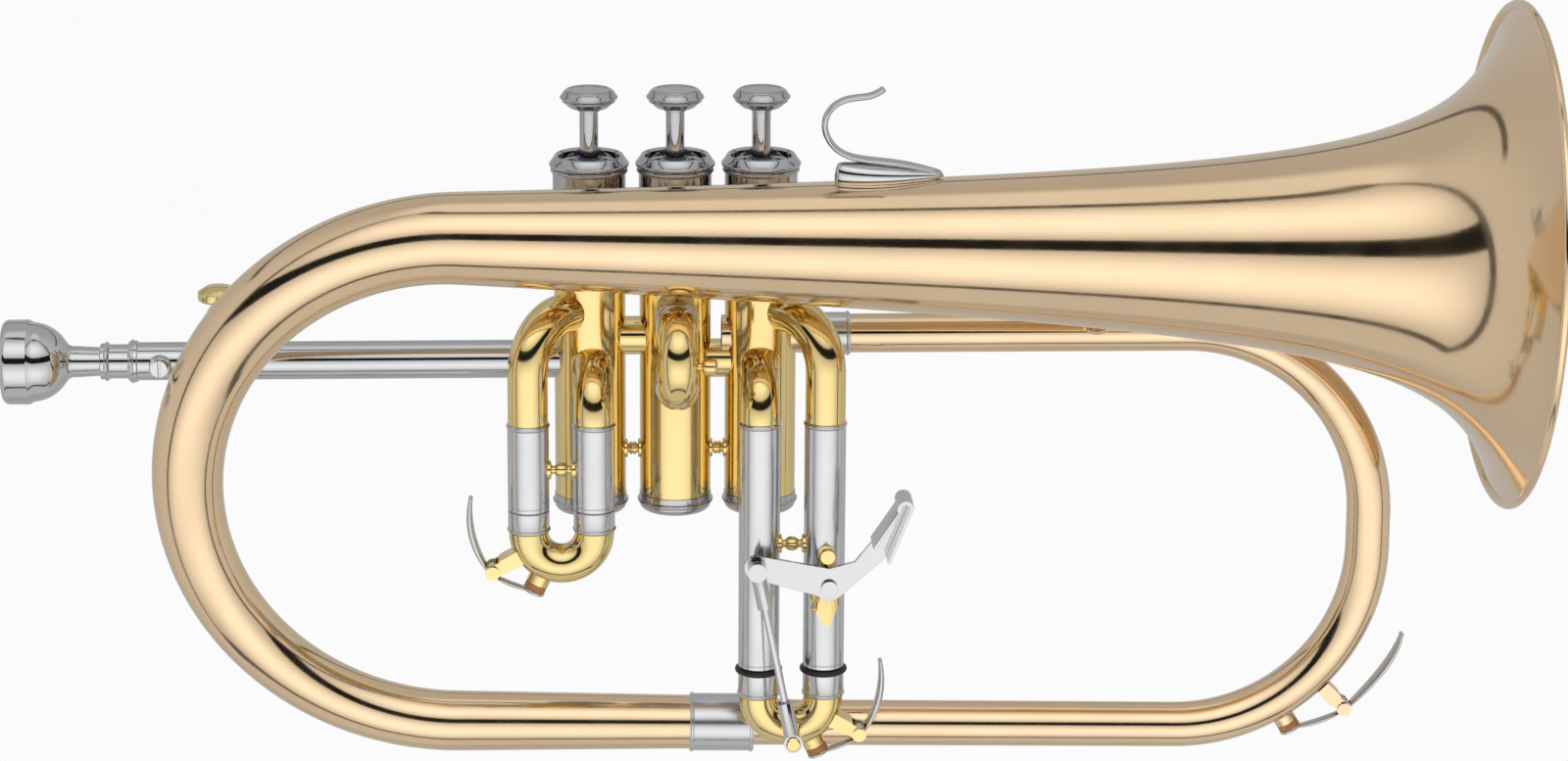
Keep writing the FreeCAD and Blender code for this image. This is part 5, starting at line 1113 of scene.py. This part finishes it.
def smooth_step(tree, value, edge, blur):
    inputs = {"Value": value, "From Min": edge - blur, "From Max": edge + blur}
    made = node(tree, "ShaderNodeMapRange", inputs, interpolation_type="SMOOTHSTEP")
    return made.outputs["Result"]


def window(tree, value, low, high, blur=0.008):
    """1 between low and high, 0 outside."""
    rise = smooth_step(tree, value, low, blur)
    fall = math_node(tree, "SUBTRACT", 1.0, smooth_step(tree, value, high, blur))
    return math_node(tree, "MULTIPLY", rise, fall)


def glow(tree, value, low, high, power):
    """1 in the middle between low and high, falling to 0 at both."""
    offset = math_node(tree, "SUBTRACT", value, (low + high) / 2)
    share_out = math_node(tree, "ABSOLUTE", math_node(tree, "DIVIDE", offset, (high - low) / 2))
    fall = math_node(tree, "POWER", share_out, power)
    return math_node(tree, "MAXIMUM", math_node(tree, "SUBTRACT", 1.0, fall), 0.0)


# Angles in radians: where a change of light lies, and how far it blurs to each side
ROOM_BACK = (2.0, 0.5)
CEILING = (1.25, 0.1)
BACK_GAP_SIDE = (1.9, 0.1)
BACK_GAP = (0.5, 0.56)
BELOW_ANY = -1.0
# Powers of the fall from a panel's middle to its edges
ACROSS_FALL = 2.6
UPRIGHT_FALL = 1.8


def build_light(sizes):
    """Room with two soft panels in front, one above the other, and a dark gap between."""
    world = bpy.data.worlds.new("studio")
    world.use_nodes = True
    bpy.context.scene.world = world
    tree = world.node_tree
    tree.nodes.clear()
    way = node(tree, "ShaderNodeTexCoord").outputs["Generated"]
    parts = node(tree, "ShaderNodeSeparateXYZ", {"Vector": way}).outputs
    front = math_node(tree, "MULTIPLY", parts["Y"], -1.0)
    azimuth = math_node(tree, "ABSOLUTE", math_node(tree, "ARCTAN2", parts["X"], front))
    elevation = math_node(tree, "ARCSINE", parts["Z"])
    half = sizes.panel_half_width
    edge = sizes.panel_edge
    level = mixed(tree, smooth_step(tree, azimuth, *ROOM_BACK), sizes.room_level,
                  sizes.back_level)
    level = mixed(tree, smooth_step(tree, elevation, *CEILING), level, sizes.top_level)
    outline = math_node(tree, "MULTIPLY", window(tree, azimuth, BELOW_ANY, half + sizes.border),
                        window(tree, elevation, sizes.foot_low - sizes.border,
                               sizes.head_high + sizes.border))
    level = mixed(tree, outline, level, sizes.border_level)
    inside = window(tree, azimuth, BELOW_ANY, half)
    across = glow(tree, azimuth, -half, half, ACROSS_FALL)
    for low, high in ((sizes.foot_low, sizes.gap_low), (sizes.gap_high, sizes.head_high)):
        shape = math_node(tree, "MULTIPLY", glow(tree, elevation, low, high, UPRIGHT_FALL), across)
        light = mixed(tree, shape, edge, sizes.panel_peak)
        mask = math_node(tree, "MULTIPLY", inside, window(tree, elevation, low, high))
        level = mixed(tree, mask, level, light)
    gap = math_node(tree, "MULTIPLY", inside,
                    window(tree, elevation, sizes.gap_low, sizes.gap_high))
    level = mixed(tree, gap, level, sizes.gap_level)
    back_gap = math_node(tree, "MULTIPLY", smooth_step(tree, azimuth, *BACK_GAP_SIDE),
                         window(tree, elevation, *BACK_GAP))
    level = mixed(tree, back_gap, level, sizes.border_level)
    seen = node(tree, "ShaderNodeLightPath").outputs["Is Camera Ray"]
    level = mixed(tree, seen, level, 1.0)
    back = node(tree, "ShaderNodeBackground", {"Color": (1.0, 1.0, 1.0, 1.0), "Strength": level})
    out = node(tree, "ShaderNodeOutputWorld")
    tree.links.new(back.outputs["Background"], out.inputs["Surface"])


def build_floor(sizes):
    """Pale floor that the mirror finishes do not see."""
    material, tree, shader, place = new_surface("pale_floor")
    feed(tree, shader, {
        "Base Color": (0.0, 0.0, 0.0, 1.0),
        "Roughness": 0.9,
        "Specular IOR Level": 0.0,
        "Emission Color": stained(tree, place, (1.0, 1.0, 1.0), 0.985, 3.0),
        "Emission Strength": sizes.floor_glow,
        "Alpha": node(tree, "ShaderNodeLightPath").outputs["Is Camera Ray"],
    })
    bm = bmesh.new()
    bmesh.ops.create_grid(bm, x_segments=1, y_segments=1, size=sizes.floor_size / 2)
    height = LOADED_BOUNDS[0][2] - sizes.floor_drop
    bmesh.ops.translate(bm, vec=(0, 0, height), verts=bm.verts)
    mesh = bpy.data.meshes.new("floor")
    bm.to_mesh(mesh)
    bm.free()
    mesh.materials.append(material)
    floor = bpy.data.objects.new("floor", mesh)
    bpy.context.scene.collection.objects.link(floor)


def build_camera(sizes):
    azimuth, elevation = sizes.azimuth, sizes.elevation
    ahead = Vector((math.sin(azimuth) * math.cos(elevation),
                    math.cos(azimuth) * math.cos(elevation), -math.sin(elevation)))
    level = Vector((math.cos(azimuth), -math.sin(azimuth), 0))
    above = level.cross(ahead)
    right = level * math.cos(sizes.roll) + above * math.sin(sizes.roll)
    up = above * math.cos(sizes.roll) - level * math.sin(sizes.roll)
    lens = bpy.data.cameras.new("camera")
    lens.sensor_width = 36.0
    lens.lens = sizes.lens
    lens.clip_start = 0.05
    lens.clip_end = 50.0
    camera = bpy.data.objects.new("camera", lens)
    turn = Matrix((right, up, -ahead)).transposed().to_4x4()
    camera.matrix_world = Matrix.Translation(Vector(sizes.target) - ahead * sizes.distance) @ turn
    bpy.context.scene.collection.objects.link(camera)
    bpy.context.scene.camera = camera


# ---------------------------------------------------------------- operators

class HORN_OT_bell(Operator):
    """Make the bell and its rolled rim"""
    bl_idname = "horn.bell"
    bl_label = "Bell"

    def execute(self, context):
        build_bell(context.scene.horn_bell)
        return {"FINISHED"}


class HORN_OT_main_tubing(Operator):
    """Make the large bow, the branch tube and their ferrules"""
    bl_idname = "horn.main_tubing"
    bl_label = "Main tubing"

    def execute(self, context):
        build_main_tubing(context.scene.horn_bell)
        return {"FINISHED"}


class HORN_OT_casings(Operator):
    """Make the valve casings, their caps, felts and stays"""
    bl_idname = "horn.casings"
    bl_label = "Valve casings"

    def execute(self, context):
        sizes = context.scene.horn_valves
        build_casings(sizes)
        build_top_caps(sizes)
        build_bottom_caps()
        build_felts()
        build_stays(sizes, context.scene.horn_slides)
        build_copies("stays")
        return {"FINISHED"}


class HORN_OT_valves(Operator):
    """Make the pistons and finger buttons"""
    bl_idname = "horn.valves"
    bl_label = "Valves"

    def execute(self, context):
        build_buttons()
        build_copies("valve_insides", 0.1 * MM)
        return {"FINISHED"}


class HORN_OT_slides(Operator):
    """Make the knuckles, sleeves, legs and bows of the three slides"""
    bl_idname = "horn.slides"
    bl_label = "Slides"

    def execute(self, context):
        sizes = context.scene.horn_slides
        build_knuckles(sizes)
        build_sleeves(sizes)
        build_slide_legs(sizes)
        build_o_rings(sizes)
        build_slide_bows(sizes)
        build_second_slide(sizes)
        return {"FINISHED"}


class HORN_OT_mouthpipe(Operator):
    """Make the mouthpipe, the tuning pipe and the mouthpiece"""
    bl_idname = "horn.mouthpipe"
    bl_label = "Mouthpipe and mouthpiece"

    def execute(self, context):
        build_mouthpipe()
        build_mouthpiece()
        return {"FINISHED"}


class HORN_OT_trigger(Operator):
    """Make the trigger, its bracket and its link rod"""
    bl_idname = "horn.trigger"
    bl_label = "Trigger"

    def execute(self, context):
        build_copies("trigger_works")
        return {"FINISHED"}


class HORN_OT_water_keys(Operator):
    """Make the three water keys"""
    bl_idname = "horn.water_keys"
    bl_label = "Water keys"

    def execute(self, context):
        build_key_levers(context.scene.horn_keys)
        build_copies("water_key_works")
        build_copies("corks", 0.25 * MM)
        return {"FINISHED"}


class HORN_OT_fittings(Operator):
    """Make the finger hook, the lyre socket and the screws, and finish the springs"""
    bl_idname = "horn.fittings"
    bl_label = "Fittings"

    def execute(self, context):
        build_finger_hook(context.scene.horn_bell)
        build_copies("small_fittings")
        dress_kept_nodes()
        return {"FINISHED"}


class HORN_OT_stage(Operator):
    """Make the floor, the light and the camera"""
    bl_idname = "horn.stage"
    bl_label = "Stage"

    def execute(self, context):
        sizes = context.scene.horn_stage
        build_floor(sizes)
        build_light(sizes)
        build_camera(sizes)
        context.scene.view_settings.view_transform = "Standard"
        return {"FINISHED"}


class HORN_PT_pieces(Panel):
    """Lists the horn's pieces"""
    bl_idname = "HORN_PT_pieces"
    bl_label = "Flugelhorn"
    bl_space_type = "VIEW_3D"
    bl_region_type = "UI"
    bl_category = "Flugelhorn"

    def draw(self, context):
        for group in GROUPS:
            column = self.layout.column(align=True)
            settings = getattr(context.scene, group)
            for key in settings.__annotations__:
                column.prop(settings, key)
        for operator in OPERATORS:
            self.layout.operator(operator.bl_idname)


GROUPS = {
    "horn_finishes": HornFinishes,
    "horn_bell": BellSizes,
    "horn_valves": ValveSizes,
    "horn_slides": SlideSizes,
    "horn_keys": KeySizes,
    "horn_stage": StageSizes,
}
OPERATORS = (HORN_OT_bell, HORN_OT_main_tubing, HORN_OT_casings, HORN_OT_valves, HORN_OT_slides,
             HORN_OT_mouthpipe, HORN_OT_trigger, HORN_OT_water_keys, HORN_OT_fittings,
             HORN_OT_stage)


def register():
    for kind in (*GROUPS.values(), *OPERATORS, HORN_PT_pieces):
        bpy.utils.register_class(kind)
    for name, kind in GROUPS.items():
        setattr(bpy.types.Scene, name, PointerProperty(type=kind))


def unregister():
    for name in GROUPS:
        delattr(bpy.types.Scene, name)
    for kind in (HORN_PT_pieces, *reversed(OPERATORS), *reversed(list(GROUPS.values()))):
        bpy.utils.unregister_class(kind)


def main():
    register()
    for operator in OPERATORS:
        group, name = operator.bl_idname.split(".")
        getattr(getattr(bpy.ops, group), name)()


if __name__ == "__main__":
    main()
